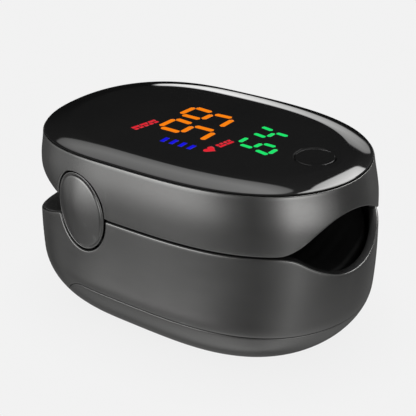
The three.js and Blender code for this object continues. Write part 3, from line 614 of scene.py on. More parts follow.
# columns on the back edge of the belly
nb = len(line_y)
start = np.column_stack([np.full(nb, Pend[0]), line_y, np.full(nb, BELLY)])
goal = np.tile([Pend[0] + 0.6, 0, BELLY], (nb, 1)).astype(float)
goal[:, 0] = Pend[0] + 0.6 + 3.0 * 0
kb = np.linspace(0, 1, P.shape[1])[:, None]
Pb = start[:, None, :] * (1 - kb) + goal[:, None, :] * kb
Nb = np.broadcast_to([0, 0, -1.0], Pb.shape)
P = np.concatenate([P, Pb], 0); N = np.concatenate([N, Nb], 0)
Pm = P[1:-1][::-1].copy(); Pm[..., 1] *= -1
Nm = N[1:-1][::-1].copy(); Nm[..., 1] *= -1
P = np.concatenate([P, Pm], 0); N = np.concatenate([N, Nm], 0)
L = np.concatenate([np.zeros((len(P), 1)), np.cumsum(np.linalg.norm(np.diff(P, axis=1), axis=2), axis=1)], 1); tot = L[:, -1]
def atc(dist, depth):
    R = np.zeros((len(P), 3)); NN = np.zeros((len(P), 3))
    for c in range(len(P)):
        for a in range(3):
            R[c, a] = np.interp(dist[c], L[c], P[c, :, a]); NN[c, a] = np.interp(dist[c], L[c], N[c, :, a])
    NN /= np.maximum(np.linalg.norm(NN, axis=1, keepdims=True), 1e-9)
    return R - NN * depth
one = np.ones(len(P)); rc = 0.1
rows = []
fr = np.concatenate([[0.015, 0.04], np.linspace(0.08, 1, 26)])
for f in fr[::-1]:
    rows.append(atc(rc + (tot - rc) * f, 0.0))
for d, dep in fillet_rows(rc, 0, 0, 4):
    rows.append(atc(one * d, dep))
for dep in (0.5, 1.0, WALL - 0.1): rows.append(atc(one * 0.0, dep))
rows.append(atc(one * 0.1, WALL))
for f in np.linspace(0.05, 1, 16): rows.append(atc(0.1 + (tot - 0.1) * f, WALL))
nr, nc = len(rows), len(P)
faces = []
for r in range(nr - 1):
    for c in range(nc):
        c2 = (c + 1) % nc
        faces.append((r * nc + c, r * nc + c2, (r + 1) * nc + c2, (r + 1) * nc + c))
cb = Builder(); cb.add(np.concatenate(rows), faces)

# ------------------------------------------------------------------ generic makers
def lathe(profile, n, centre, axis, close=True, phase=0.0):
    """Solid of revolution: profile [(r, h)] from the axis back to the axis; axis 'x', 'y' or 'z', sign by prefix."""
    sgn = -1 if axis[0] == "-" else 1; ax = axis[-1]
    v, f, idx = [], [], []
    for r, h in profile:
        if r < 1e-9:
            idx.append([len(v)] * n); v.append((0, 0, h))
        else:
            idx.append(list(range(len(v), len(v) + n)))
            for k in range(n):
                a = 2 * math.pi * k / n + phase
                v.append((r * math.cos(a), r * math.sin(a), h))
    for i in range(len(profile) - 1):
        for k in range(n):
            q = [idx[i][k], idx[i][(k + 1) % n], idx[i + 1][(k + 1) % n], idx[i + 1][k]]
            u = []
            for w in q:
                if w not in u: u.append(w)
            if len(u) > 2: f.append(tuple(u))
    v = np.array(v, float)
    if ax == "x": v = np.column_stack([sgn * v[:, 2], v[:, 0], v[:, 1]])
    elif ax == "y": v = np.column_stack([v[:, 0], sgn * v[:, 2], v[:, 1]])
    else: v = np.column_stack([v[:, 0], v[:, 1], sgn * v[:, 2]])
    return v + np.array(centre, float), f

def rounded_box(lo, hi, r, seg=3):
    """Box with rolled edges as a closed mesh."""
    lo, hi = np.array(lo, float), np.array(hi, float)
    r = min(r, *( (hi - lo) / 2.001))
    bm = bmesh.new(); bmesh.ops.create_cube(bm, size=1.0)
    for w in bm.verts:
        w.co = Vector(((lo + hi) / 2 + np.array(w.co) * (hi - lo)))
    bmesh.ops.bevel(bm, geom=list(bm.edges) + list(bm.verts), offset=r, segments=seg, profile=0.5, affect="EDGES")
    bm.verts.ensure_lookup_table(); bm.verts.index_update()
    v = np.array([list(w.co) for w in bm.verts]); f = [tuple(q.index for q in p.verts) for p in bm.faces]
    bm.free()
    return v, f

def tube(pts, r, n=10, sub=1):
    """Round wire along points, ends domed."""
    p = np.array(pts, float)
    L = np.concatenate([[0], np.cumsum(np.linalg.norm(np.diff(p, axis=0), axis=1))])
    m = len(p)
    t = np.gradient(p, axis=0); t /= np.linalg.norm(t, axis=1, keepdims=True)
    u = np.cross(t[0], [0.3, 0.5, 0.81]); u /= np.linalg.norm(u)
    v, f = [], []
    rings = []
    prev = t[0]
    def addring(c, u_, w_, rr):
        base = len(v)
        for k in range(n):
            a = 2 * math.pi * k / n
            v.append(c + rr * (math.cos(a) * u_ + math.sin(a) * w_))
        rings.append(base)
    for i in range(m):
        ax = np.cross(prev, t[i]); s = np.linalg.norm(ax); c = float(np.dot(prev, t[i]))
        if s > 1e-9:
            ax /= s; ang = math.atan2(s, c)
            u = u * math.cos(ang) + np.cross(ax, u) * math.sin(ang) + ax * np.dot(ax, u) * (1 - math.cos(ang))
        u -= t[i] * np.dot(u, t[i]); u /= np.linalg.norm(u); w = np.cross(t[i], u); prev = t[i]
        if i == 0:
            for a in (0.35, 0.75): addring(p[0] - t[0] * r * math.cos(a * math.pi / 2) * 0.7, u, w, r * math.sin(a * math.pi / 2))
        addring(p[i], u, w, r)
        if i == m - 1:
            for a in (0.75, 0.35): addring(p[-1] + t[-1] * r * math.cos(a * math.pi / 2) * 0.7, u, w, r * math.sin(a * math.pi / 2))
    for a, b in zip(rings[:-1], rings[1:]):
        for k in range(n):
            k2 = (k + 1) % n
            f.append((a + k, a + k2, b + k2, b + k))
    f.append(tuple(range(rings[0], rings[0] + n))[::-1]); f.append(tuple(range(rings[-1], rings[-1] + n)))
    return np.array(v), f

def smooth_path(pts, step):
    p = np.array(pts, float)
    L = np.concatenate([[0], np.cumsum(np.linalg.norm(np.diff(p, axis=0), axis=1))])
    g = np.linspace(0, L[-1], max(4, int(L[-1] / step)))
    return np.column_stack([spline(L, p[:, i])(g) for i in range(3)])

# ------------------------------------------------------------------ window
CREASE = 4.6
def win_ring(inset, n):
    x, y, _ = ring(29.25 - inset, 29.25 - inset, 18.43 - inset, 3.343, 2.683, 2.013, 2.183, -6.405, n)
    return np.column_stack([x, y])
def crown_factor(x, y):
    i = CREASE; xm = -6.405; f = x >= xm
    a = np.where(f, 29.25 - i - xm, 29.25 - i + xm)
    return (np.abs((x - xm) / a)) ** np.where(f, 3.343, 2.683) + (np.abs(y) / (18.43 - i)) ** np.where(f, 2.013, 2.183)
Z_CREASE = 11.125
def win_top(x, y):
    x, y = np.asarray(x, float), np.asarray(y, float)
    return ARC(x) + Z_CREASE + 0.07 * (1 - np.clip(crown_factor(x, y), 0, 1))
NW = 420
prof = [(0.95, 10.12), (0.5, 10.12), (0.30, 10.135), (0.22, 10.19), (0.2, 10.25), (0.215, 10.31), (0.27, 10.37), (0.37, 10.42), (0.52, 10.465)]
a0, a1 = math.tan(math.radians(15.5)), math.tan(math.radians(6.5))
i0, z0 = prof[-1]
nb_, SOFT = 14, 0.9
tilt = lambda i: (a0 + (a1 - a0) * (i - i0) / (CREASE - i0)) if i < CREASE - SOFT else (a0 + (a1 - a0) * (CREASE - SOFT - i0) / (CREASE - i0)) * (1 - 0.86 * ((i - CREASE + SOFT) / SOFT) ** 1.5)
steps = list(np.linspace(i0, CREASE - SOFT, nb_ + 1)[1:]) + list(np.linspace(CREASE - SOFT, CREASE, 9)[1:])
li, z = i0, z0
for ins in steps:
    mid_ = 0.5 * (li + ins); z += tilt(mid_) * (ins - li); li = ins
    prof.append((ins, z))
zs = (Z_CREASE - z0) / (prof[-1][1] - z0)
prof = prof[:9] + [(i, z0 + (z - z0) * zs) for i, z in prof[9:]]
wv, wf = [], []
for i, z in prof:
    r = win_ring(i, NW); wv.append(np.column_stack([r, np.full(NW, z) + ARC(r[:, 0])]))
nrw = len(prof)
wv = np.concatenate(wv)
for r in range(nrw - 1):
    for k in range(NW):
        k2 = (k + 1) % NW
        wf.append((r * NW + k, r * NW + k2, (r + 1) * NW + k2, (r + 1) * NW + k))
EDGE_FACES = 6 * NW                                  # the pane's dull side, up to the start of its rolled edge
BX, BR = 21.07, 3.0
NHOLE = 72
hole = lambda r: np.column_stack([BX + r * np.cos(np.arange(NHOLE) / NHOLE * 2 * np.pi), r * np.sin(np.arange(NHOLE) / NHOLE * 2 * np.pi)])
hr = [(3.41, 0.0), (3.388, -0.012), (3.325, -0.058), (3.272, -0.112), (3.242, -0.18), (3.235, -0.6)]
def cdt(outer, inner, grid):
    """Flat triangulation between a loop and a hole; returns points (outer first, inner next) and faces."""
    pts = [Vector(p) for p in outer] + [Vector(p) for p in inner] + [Vector(p) for p in grid]
    no, ni = len(outer), len(inner)
    ed = [(k, (k + 1) % no) for k in range(no)] + [(no + k, no + (k + 1) % ni) for k in range(ni)]
    vs, es, fs, ov, oe, of_ = geometry.delaunay_2d_cdt(pts, ed, [], 0, 1e-7)
    vs = np.array([list(v) for v in vs])
    c = np.array([vs[list(f)].mean(0) for f in fs])
    keep = np.hypot(c[:, 0] - BX, c[:, 1]) > 3.2 if ni else np.ones(len(fs), bool)
    # inside the outer loop
    ox, oy = np.array(outer).T
    ins = np.zeros(len(fs), bool)
    j = len(ox) - 1
    for i in range(len(ox)):
        cond = ((oy[i] > c[:, 1]) != (oy[j] > c[:, 1])) & (c[:, 0] < (ox[j] - ox[i]) * (c[:, 1] - oy[i]) / (oy[j] - oy[i] + 1e-15) + ox[i])
        ins ^= cond; j = i
    return vs, [tuple(f) for f, k, m in zip(fs, keep, ins) if k and m]
crease = win_ring(CREASE, NW)
gx, gy = np.meshgrid(np.arange(-27, 27, 1.35), np.arange(-15, 15.1, 1.35))
gx = gx + (np.arange(gx.shape[0])[:, None] % 2) * 0.675
gr = np.column_stack([gx.ravel(), gy.ravel()])
gr = gr[(crown_factor(gr[:, 0], gr[:, 1]) < 0.9) & (np.hypot(gr[:, 0] - BX, gr[:, 1]) > 4.3)]
vs, fs = cdt(crease, hole(4.1), gr[np.hypot(gr[:, 0] - BX, gr[:, 1]) > 4.9])
base = len(wv)
wv = np.vstack([wv, np.column_stack([vs, win_top(vs[:, 0], vs[:, 1])])])
wf += [tuple(base + i for i in f) for f in fs]
hb = []
for r, dz in [(4.1, 0.0), (3.8, 0.0), (3.55, 0.0), (3.4, 0.0)] + hr:
    h = hole(r); hb.append(len(wv))
    wv = np.vstack([wv, np.column_stack([h, win_top(h[:, 0], h[:, 1]) + dz])])
h = hole(3.235); hb.append(len(wv)); wv = np.vstack([wv, np.column_stack([h, np.full(NHOLE, 10.12) + ARC(h[:, 0])])])
for a, b in zip(hb[:-1], hb[1:]):
    for k in range(NHOLE):
        k2 = (k + 1) % NHOLE
        wf.append((a + k, a + k2, b + k2, b + k))
low = win_ring(0.95, NW)
vs, fs = cdt(low, hole(3.235), gr)
base = len(wv)
wv = np.vstack([wv, np.column_stack([vs, np.full(len(vs), 10.12) + ARC(vs[:, 0])])])
wf += [tuple(base + i for i in f) for f in fs]

# ------------------------------------------------------------------ finishes
def nodes_of(m):
    m.use_nodes = True
    nt = m.node_tree
    for n in list(nt.nodes): nt.nodes.remove(n)
    out = nt.nodes.new("ShaderNodeOutputMaterial")
    b = nt.nodes.new("ShaderNodeBsdfPrincipled")
    nt.links.new(b.outputs[0], out.inputs[0])
    return nt, b, out

def coords(nt):
    return nt.nodes.new("ShaderNodeTexCoord").outputs["Object"]

def noise(nt, vec, scale, detail=2.0, rough=0.5, dist=0.0):
    n = nt.nodes.new("ShaderNodeTexNoise"); n.inputs["Scale"].default_value = scale
    n.inputs["Detail"].default_value = detail; n.inputs["Roughness"].default_value = rough; n.inputs["Distortion"].default_value = dist
    nt.links.new(vec, n.inputs["Vector"])
    return n.outputs["Fac"]

def stretch(nt, vec, sx, sy, sz):
    m = nt.nodes.new("ShaderNodeMapping"); m.inputs["Scale"].default_value = (sx, sy, sz)
    nt.links.new(vec, m.inputs["Vector"])
    return m.outputs[0]

def ramp(nt, fac, stops):
    r = nt.nodes.new("ShaderNodeValToRGB"); e = r.color_ramp.elements
    while len(e) > len(stops): e.remove(e[-1])
    while len(e) < len(stops): e.new(0.5)
    for i, (p, c) in enumerate(stops):
        e[i].position = p; e[i].color = (*c, 1) if len(c) == 3 else c
    nt.links.new(fac, r.inputs[0])
    return r.outputs[0]

def span(nt, fac, a, b, lo, hi, smooth=False):
    m = nt.nodes.new("ShaderNodeMapRange")
    if smooth: m.interpolation_type = "SMOOTHSTEP"
    for k, v in zip(("From Min", "From Max", "To Min", "To Max"), (a, b, lo, hi)): m.inputs[k].default_value = v
    nt.links.new(fac, m.inputs["Value"])
    return m.outputs[0]

def bump(nt, height, strength, dist, prev=None):
    b = nt.nodes.new("ShaderNodeBump"); b.inputs["Strength"].default_value = strength; b.inputs["Distance"].default_value = dist
    nt.links.new(height, b.inputs["Height"])
    if prev is not None: nt.links.new(prev, b.inputs["Normal"])
    return b.outputs[0]

def mixc(nt, fac, a, b, mode="MIX"):
    m = nt.nodes.new("ShaderNodeMix"); m.data_type = "RGBA"; m.blend_type = mode
    for sock, v in ((m.inputs[0], fac), (m.inputs[6], a), (m.inputs[7], b)):
        if isinstance(v, (int, float)): sock.default_value = v
        elif isinstance(v, tuple): sock.default_value = (*v, 1) if len(v) == 3 else v
        else: nt.links.new(v, sock)
    return m.outputs[2]

def math_(nt, op, a, b=None, c=None):
    m = nt.nodes.new("ShaderNodeMath"); m.operation = op
    for i, v in enumerate((a, b, c)):
        if v is None: continue
        if isinstance(v, (int, float)): m.inputs[i].default_value = v
        else: nt.links.new(v, m.inputs[i])
    return m.outputs[0]

def simple(name, col, rough, metal=0.0, spec=0.5, scale=4000, var=0.12, rvar=0.06, bmp=0.1, dist=2e-5, coat=0.0, detail=3):
    m = bpy.data.materials.new(name); nt, b, o = nodes_of(m); v = coords(nt)
    n = noise(nt, v, scale, detail, 0.6)
    c0 = tuple(x * (1 - var) for x in col); c1 = tuple(min(1, x * (1 + var)) for x in col)
    nt.links.new(ramp(nt, n, [(0.3, c0), (0.7, c1)]), b.inputs["Base Color"])
    n2 = noise(nt, v, scale * 0.17, 2, 0.5)
    nt.links.new(span(nt, n2, 0.3, 0.7, rough - rvar, rough + rvar), b.inputs["Roughness"])
    b.inputs["Metallic"].default_value = metal
    b.inputs["Specular IOR Level"].default_value = spec
    b.inputs["Coat Weight"].default_value = coat
    if bmp: nt.links.new(bump(nt, n, bmp, dist), b.inputs["Normal"])
    return m

# satin metallic lacquer on moulded plastic
def shell_finish(name, base=0.125, rough=0.25):
    m = bpy.data.materials.new(name); nt, b, o = nodes_of(m); v = coords(nt)
    flake = nt.nodes.new("ShaderNodeTexVoronoi"); flake.inputs["Scale"].default_value = 9000
    nt.links.new(v, flake.inputs["Vector"])
    bw = nt.nodes.new("ShaderNodeSeparateColor"); nt.links.new(flake.outputs["Color"], bw.inputs[0])
    spark = span(nt, bw.outputs[0], 0.0, 1.0, -0.06, 0.06)
    cloud = noise(nt, v, 90, 3, 0.55)
    tone = math_(nt, "ADD", span(nt, cloud, 0.3, 0.7, 0.97, 1.03), spark)
    col = mixc(nt, 1.0, (base, base, base * 0.99), (1, 1, 1), "MULTIPLY")
    mul = nt.nodes.new("ShaderNodeVectorMath"); mul.operation = "SCALE"
    nt.links.new(col, mul.inputs[0]); nt.links.new(tone, mul.inputs["Scale"])
    geo = nt.nodes.new("ShaderNodeNewGeometry")
    edge = span(nt, geo.outputs["Pointiness"], 0.52, 0.58, 0.0, 0.35, True)
    nt.links.new(mixc(nt, edge, mul.outputs[0], (base * 1.9, base * 1.9, base * 1.88)), b.inputs["Base Color"])
    b.inputs["Metallic"].default_value = 0.82
    wear = noise(nt, stretch(nt, v, 1, 1, 3), 160, 4, 0.6)
    nt.links.new(span(nt, wear, 0.3, 0.7, rough - 0.018, rough + 0.022), b.inputs["Roughness"])
    grain = noise(nt, v, 7000, 2, 0.6)
    nt.links.new(bump(nt, grain, 0.045, 1e-5), b.inputs["Normal"])
    b.inputs["Coat Weight"].default_value = 0.0
    return m
SHELL = shell_finish("shell_lacquer")
CAP = shell_finish("cap_lacquer", 0.105, 0.25)
SHELL_IN = simple("shell_inside", (0.018, 0.018, 0.0185), 0.55, 0.0, 0.35, 3000, 0.15, 0.05, 0.15, 2e-5)

def glass_finish():
    m = bpy.data.materials.new("window_black"); nt, b, o = nodes_of(m); v = coords(nt)
    haze = noise(nt, v, 60, 2, 0.5)
    nt.links.new(ramp(nt, haze, [(0.3, (0.0085, 0.0086, 0.0088)), (0.7, (0.0105, 0.0105, 0.0105))]), b.inputs["Base Color"])
    sc = noise(nt, stretch(nt, v, 1, 14, 1), 420, 5, 0.65)
    nt.links.new(span(nt, sc, 0.45, 0.75, 0.035, 0.06), b.inputs["Roughness"])
    b.inputs["IOR"].default_value = 1.5
    nt.links.new(bump(nt, noise(nt, v, 500, 2, 0.5), 0.012, 1e-5), b.inputs["Normal"])
    return m
GLASS = glass_finish()
PANE_SIDE = simple("window_side", (0.006, 0.006, 0.006), 0.5, 0.0, 0.12, 2500, 0.15, 0.05, 0.1, 1e-5)

def lit(name, col, strength):
    m = bpy.data.materials.new(name); nt, b, o = nodes_of(m); v = coords(nt)
    d = noise(nt, v, 2600, 2, 0.5)
    nt.links.new(ramp(nt, d, [(0.2, tuple(c * 0.93 for c in col)), (0.8, col)]), b.inputs["Emission Color"])
    nt.links.new(span(nt, d, 0.2, 0.8, strength * 0.95, strength * 1.04), b.inputs["Emission Strength"])
    b.inputs["Base Color"].default_value = (0.004, 0.004, 0.004, 1); b.inputs["Specular IOR Level"].default_value = 0.15
    nt.links.new(span(nt, noise(nt, v, 400, 2), 0.3, 0.7, 0.04, 0.07), b.inputs["Roughness"])
    return m
lin = lambda c: tuple((x / 255 / 12.92) if x / 255 <= 0.04045 else (((x / 255) + 0.055) / 1.055) ** 2.4 for x in c)
ORANGE, GREEN_, RED, BLUE = (lit(n, lin(c), 1.0) for n, c in (("lit_orange", (255, 132, 4)), ("lit_green", (24, 232, 110)), ("lit_red", (228, 32, 48)), ("lit_blue", (14, 12, 222))))

SILICONE = simple("pad_silicone", (0.012, 0.012, 0.0125), 0.62, 0.0, 0.35, 2600, 0.2, 0.06, 0.25, 3e-5)
CHASSIS = simple("chassis_plastic", (0.022, 0.022, 0.024), 0.5, 0.0, 0.45, 2200, 0.15, 0.06, 0.3, 3e-5)
FERRITE = simple("ferrite", (0.03, 0.03, 0.033), 0.6, 0.1, 0.4, 5000, 0.35, 0.08, 0.5, 4e-5)
CHIP = simple("chip_resin", (0.012, 0.012, 0.014), 0.45, 0.0, 0.45, 5200, 0.25, 0.05, 0.35, 2e-5)
SOCKET = simple("socket_nylon", (0.72, 0.68, 0.58), 0.48, 0.0, 0.45, 1800, 0.05, 0.06, 0.15, 2e-5)
LENS_S = simple("sensor_lens", (0.055, 0.012, 0.010), 0.12, 0.0, 0.5, 900, 0.12, 0.03, 0.05, 1e-5, coat=0.5)
LENS_E = simple("emitter_lens", (0.42, 0.46, 0.48), 0.12, 0.0, 0.5, 900, 0.08, 0.03, 0.05, 1e-5, coat=0.5)
LED = simple("led_ceramic", (0.72, 0.70, 0.62), 0.35, 0.0, 0.5, 2500, 0.06, 0.05, 0.15, 2e-5)
DISPLAY = simple("display_case", (0.02, 0.02, 0.022), 0.45, 0.0, 0.4, 3000, 0.2, 0.05, 0.2, 2e-5)
CABLE = None

def steel_finish(name, col, rough, sx=1, sy=1, sz=18):
    m = bpy.data.materials.new(name); nt, b, o = nodes_of(m); v = coords(nt)
    br = noise(nt, stretch(nt, v, sx, sy, sz), 900, 4, 0.7)
    nt.links.new(ramp(nt, br, [(0.3, tuple(c * 0.86 for c in col)), (0.7, col)]), b.inputs["Base Color"])
    nt.links.new(span(nt, br, 0.3, 0.7, rough - 0.05, rough + 0.07), b.inputs["Roughness"])
    b.inputs["Metallic"].default_value = 1.0
    nt.links.new(bump(nt, br, 0.12, 1e-5), b.inputs["Normal"])
    return m
STEEL = steel_finish("steel_plate", (0.50, 0.51, 0.52), 0.32)
SPRING = steel_finish("spring_wire", (0.58, 0.57, 0.54), 0.26, 1, 14, 1)

def board_finish():
    m = bpy.data.materials.new("board_mask"); nt, b, o = nodes_of(m); v = coords(nt)
    br = nt.nodes.new("ShaderNodeTexBrick")
    br.inputs["Scale"].default_value = 260; br.inputs["Mortar Size"].default_value = 0.035; br.inputs["Brick Width"].default_value = 1.7; br.inputs["Row Height"].default_value = 0.45
    br.inputs["Color1"].default_value = (0.010, 0.085, 0.035, 1); br.inputs["Color2"].default_value = (0.012, 0.105, 0.045, 1); br.inputs["Mortar"].default_value = (0.02, 0.17, 0.07, 1)
    wob = nt.nodes.new("ShaderNodeVectorMath"); wob.operation = "SNAP"; wob.inputs[1].default_value = (4e-4, 4e-4, 4e-4)
    nt.links.new(v, br.inputs["Vector"])
    vo = nt.nodes.new("ShaderNodeTexVoronoi"); vo.inputs["Scale"].default_value = 420; nt.links.new(v, vo.inputs["Vector"])
    pad = span(nt, vo.outputs["Distance"], 0.10, 0.13, 1.0, 0.0)
    nt.links.new(mixc(nt, pad, br.outputs["Color"], (0.62, 0.45, 0.2)), b.inputs["Base Color"])
    nt.links.new(span(nt, noise(nt, v, 1500, 3), 0.3, 0.7, 0.3, 0.44), b.inputs["Roughness"])
    nt.links.new(math_(nt, "MULTIPLY", pad, 0.9), b.inputs["Metallic"])
    nt.links.new(bump(nt, br.outputs["Fac"], 0.2, 2e-5), b.inputs["Normal"])
    return m
BOARD = board_finish()

def sleeve_finish(name, flip):
    """Cell sleeve: a metallic band and a plain coloured band, no lettering."""
    m = bpy.data.materials.new(name); nt, b, o = nodes_of(m); v = coords(nt)
    sx = nt.nodes.new("ShaderNodeSeparateXYZ"); nt.links.new(v, sx.inputs[0])
    x = sx.outputs[0]
    edge = (-0.0112 if flip else 0.0116)
    band = span(nt, x, edge - 1e-4, edge + 1e-4, 1.0 if flip else 0.0, 0.0 if flip else 1.0)
    line = math_(nt, "MULTIPLY", span(nt, x, edge - 9e-4, edge - 8e-4, 0, 1), span(nt, x, edge + 8e-4, edge + 9e-4, 1, 0))
    fine = noise(nt, stretch(nt, v, 30, 1, 1), 300, 3, 0.6)
    blue = ramp(nt, fine, [(0.3, (0.030, 0.075, 0.17)), (0.7, (0.040, 0.095, 0.20))])
    col = mixc(nt, band, blue, (0.42, 0.43, 0.44))
    nt.links.new(mixc(nt, line, col, (0.75, 0.75, 0.73)), b.inputs["Base Color"])
    nt.links.new(span(nt, fine, 0.3, 0.7, 0.24, 0.36), b.inputs["Roughness"])
    b.inputs["Metallic"].default_value = 0.55; b.inputs["Coat Weight"].default_value = 0.5
    nt.links.new(bump(nt, fine, 0.05, 1e-5), b.inputs["Normal"])
    return m

def cable_finish():
    m = bpy.data.materials.new("cable_film"); nt, b, o = nodes_of(m); v = coords(nt)
    sx = nt.nodes.new("ShaderNodeSeparateXYZ"); nt.links.new(v, sx.inputs[0])
    w = math_(nt, "FRACT", math_(nt, "MULTIPLY", sx.outputs[1], 1250.0))
    tr = span(nt, math_(nt, "ABSOLUTE", math_(nt, "SUBTRACT", w, 0.5)), 0.2, 0.26, 1.0, 0.0)
    nt.links.new(mixc(nt, tr, (0.36, 0.13, 0.02), (0.58, 0.27, 0.07)), b.inputs["Base Color"])
    nt.links.new(span(nt, noise(nt, v, 900, 3), 0.3, 0.7, 0.3, 0.42), b.inputs["Roughness"])
    b.inputs["Metallic"].default_value = 0.2
    nt.links.new(bump(nt, tr, 0.25, 2e-5), b.inputs["Normal"])
    return m
CABLE = cable_finish()

# ------------------------------------------------------------------ the visible pieces
def piece(ob, body, slot, *repl):
    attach(ob, body)
    if repl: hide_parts(*repl)
    return ob

us = ub.make("upper_shell_skin", [SHELL, SHELL_IN], sharp_deg=50); piece(us, "upper_half", "shell", "upper_shell")
ls = lb.make("lower_shell_skin", [SHELL, SHELL_IN], sharp_deg=50)
# guide ribs of the cover
for s in (1, -1):
    v, f = rounded_box((-13, s * 12.3 - 0.4, -20.6), (13, s * 12.3 + 0.4, -14.9), 0.15); cb.add(v, f)
bc = cb.make("battery_cover_skin", [SHELL], sharp_deg=50)
for s in (1, -1):
    for x, y in ((10, 14.3), (-19.4, 13.2)):
        pass
piece(ls, "lower_half", "shell", "lower_shell")
piece(bc, "battery_cover", "shell", "battery_cover")
win = mesh_object("window_pane", wv, wf, [GLASS, PANE_SIDE], [1 if k < EDGE_FACES else 0 for k in range(len(wf))], sharp_deg=7.0)
piece(win, "upper_half", "window", "display_window")

# power button: thin rolled rim, ring line, shallow dish
zt = float(win_top(BX, 0))
bp = [(0, 9.4), (3.6, 9.4), (3.75, 9.5), (3.75, 9.75), (3.65, 9.85), (3.17, 9.86), (3.12, 9.95), (3.12, zt - 0.2), (3.115, zt - 0.11), (3.095, zt - 0.075), (3.05, zt - 0.058),
      (2.98, zt - 0.055), (2.9, zt - 0.056), (2.4, zt - 0.062), (1.8, zt - 0.068), (1.2, zt - 0.073), (0.5, zt - 0.078), (0, zt - 0.08)]
v, f = lathe(bp, 96, (BX, 0, 0), "z")
piece(mesh_object("power_button_cap", v, f, [GLASS], sharp_deg=40), "power_button", "window", "power_button")
v, f = lathe([(0, 8.62), (1.1, 8.62), (1.2, 8.7), (1.2, 9.2), (1.12, 9.3), (1.0, 9.36), (0, 9.36)], 40, (BX, 0, 0), "z")
piece(mesh_object("switch_plunger_pin", v, f, [CHIP], sharp_deg=40), "switch_plunger", "chip", "switch_plunger")

# oval hinge caps: the rim follows the shell's side, the face is a shallow dome
ss_ = np.linspace(0.02, 0.48, 900); pw = upper.pos(ss_, np.full(900, 0.2)); ow = np.argsort(pw[:, 0])
side_y = lambda x: np.interp(x, pw[ow, 0], pw[ow, 1])
for side, s in (("left", 1), ("right", -1)):
    # (inset from the oval, height over the shell's side)
    dome = [(0.62, -2.2), (0.6, -1.2), (0.4, -0.75), (0.12, -0.45), (0.0, -0.3), (0.0, -0.12), (0.02, -0.05), (0.07, -0.01), (0.15, 0.0), (0.23, -0.02), (0.28, -0.07), (0.32, -0.13), (0.37, -0.15), (0.42, -0.12), (0.47, -0.04), (0.56, 0.05), (0.7, 0.12)]
    n = 128; v, f = [], []
    rings_ = [(d, h, None) for d, h in dome] + [(0.7 + (CRX - 0.7) * q, None, q) for q in np.linspace(0, 1, 22)[1:-1]]
    for d, h, q in rings_:
        for i in range(n):
            a = 2 * math.pi * i / n
            kx = CRX - d; kz = (CRZ - d) if d <= 0.7 else (CRZ - 0.7) * (CRX - d) / (CRX - 0.7)
            x = HX + COX + kx * math.cos(a)
            if q is None:
                y = side_y(x) + h if h > -2 else 16.25         # the plug's flat back stays clear of the upper frame
            else:
                rim = side_y(HX + COX + (CRX - 0.7) * math.cos(a)) + 0.12
                top_ = 19.2
                y = rim + (top_ - rim) * (1 - (1 - q) ** 2) if top_ > rim else rim
            v.append((x, s * y, COZ + kz * math.sin(a)))
    m = len(rings_)
    for r in range(m - 1):
        for i in range(n):
            j = (i + 1) % n; f.append((r * n + i, r * n + j, (r + 1) * n + j, (r + 1) * n + i))
    v.append((HX + COX, s * 16.25, COZ)); v.append((HX + COX, s * 19.2, COZ))
    for i in range(n):
        j = (i + 1) % n; f.append((len(v) - 2, j, i)); f.append((len(v) - 1, (m - 1) * n + i, (m - 1) * n + j))
    piece(mesh_object("hinge_cap_dome_" + side, v, f, [CAP], sharp_deg=60), "lower_half", "shell", "hinge_cap_" + side)

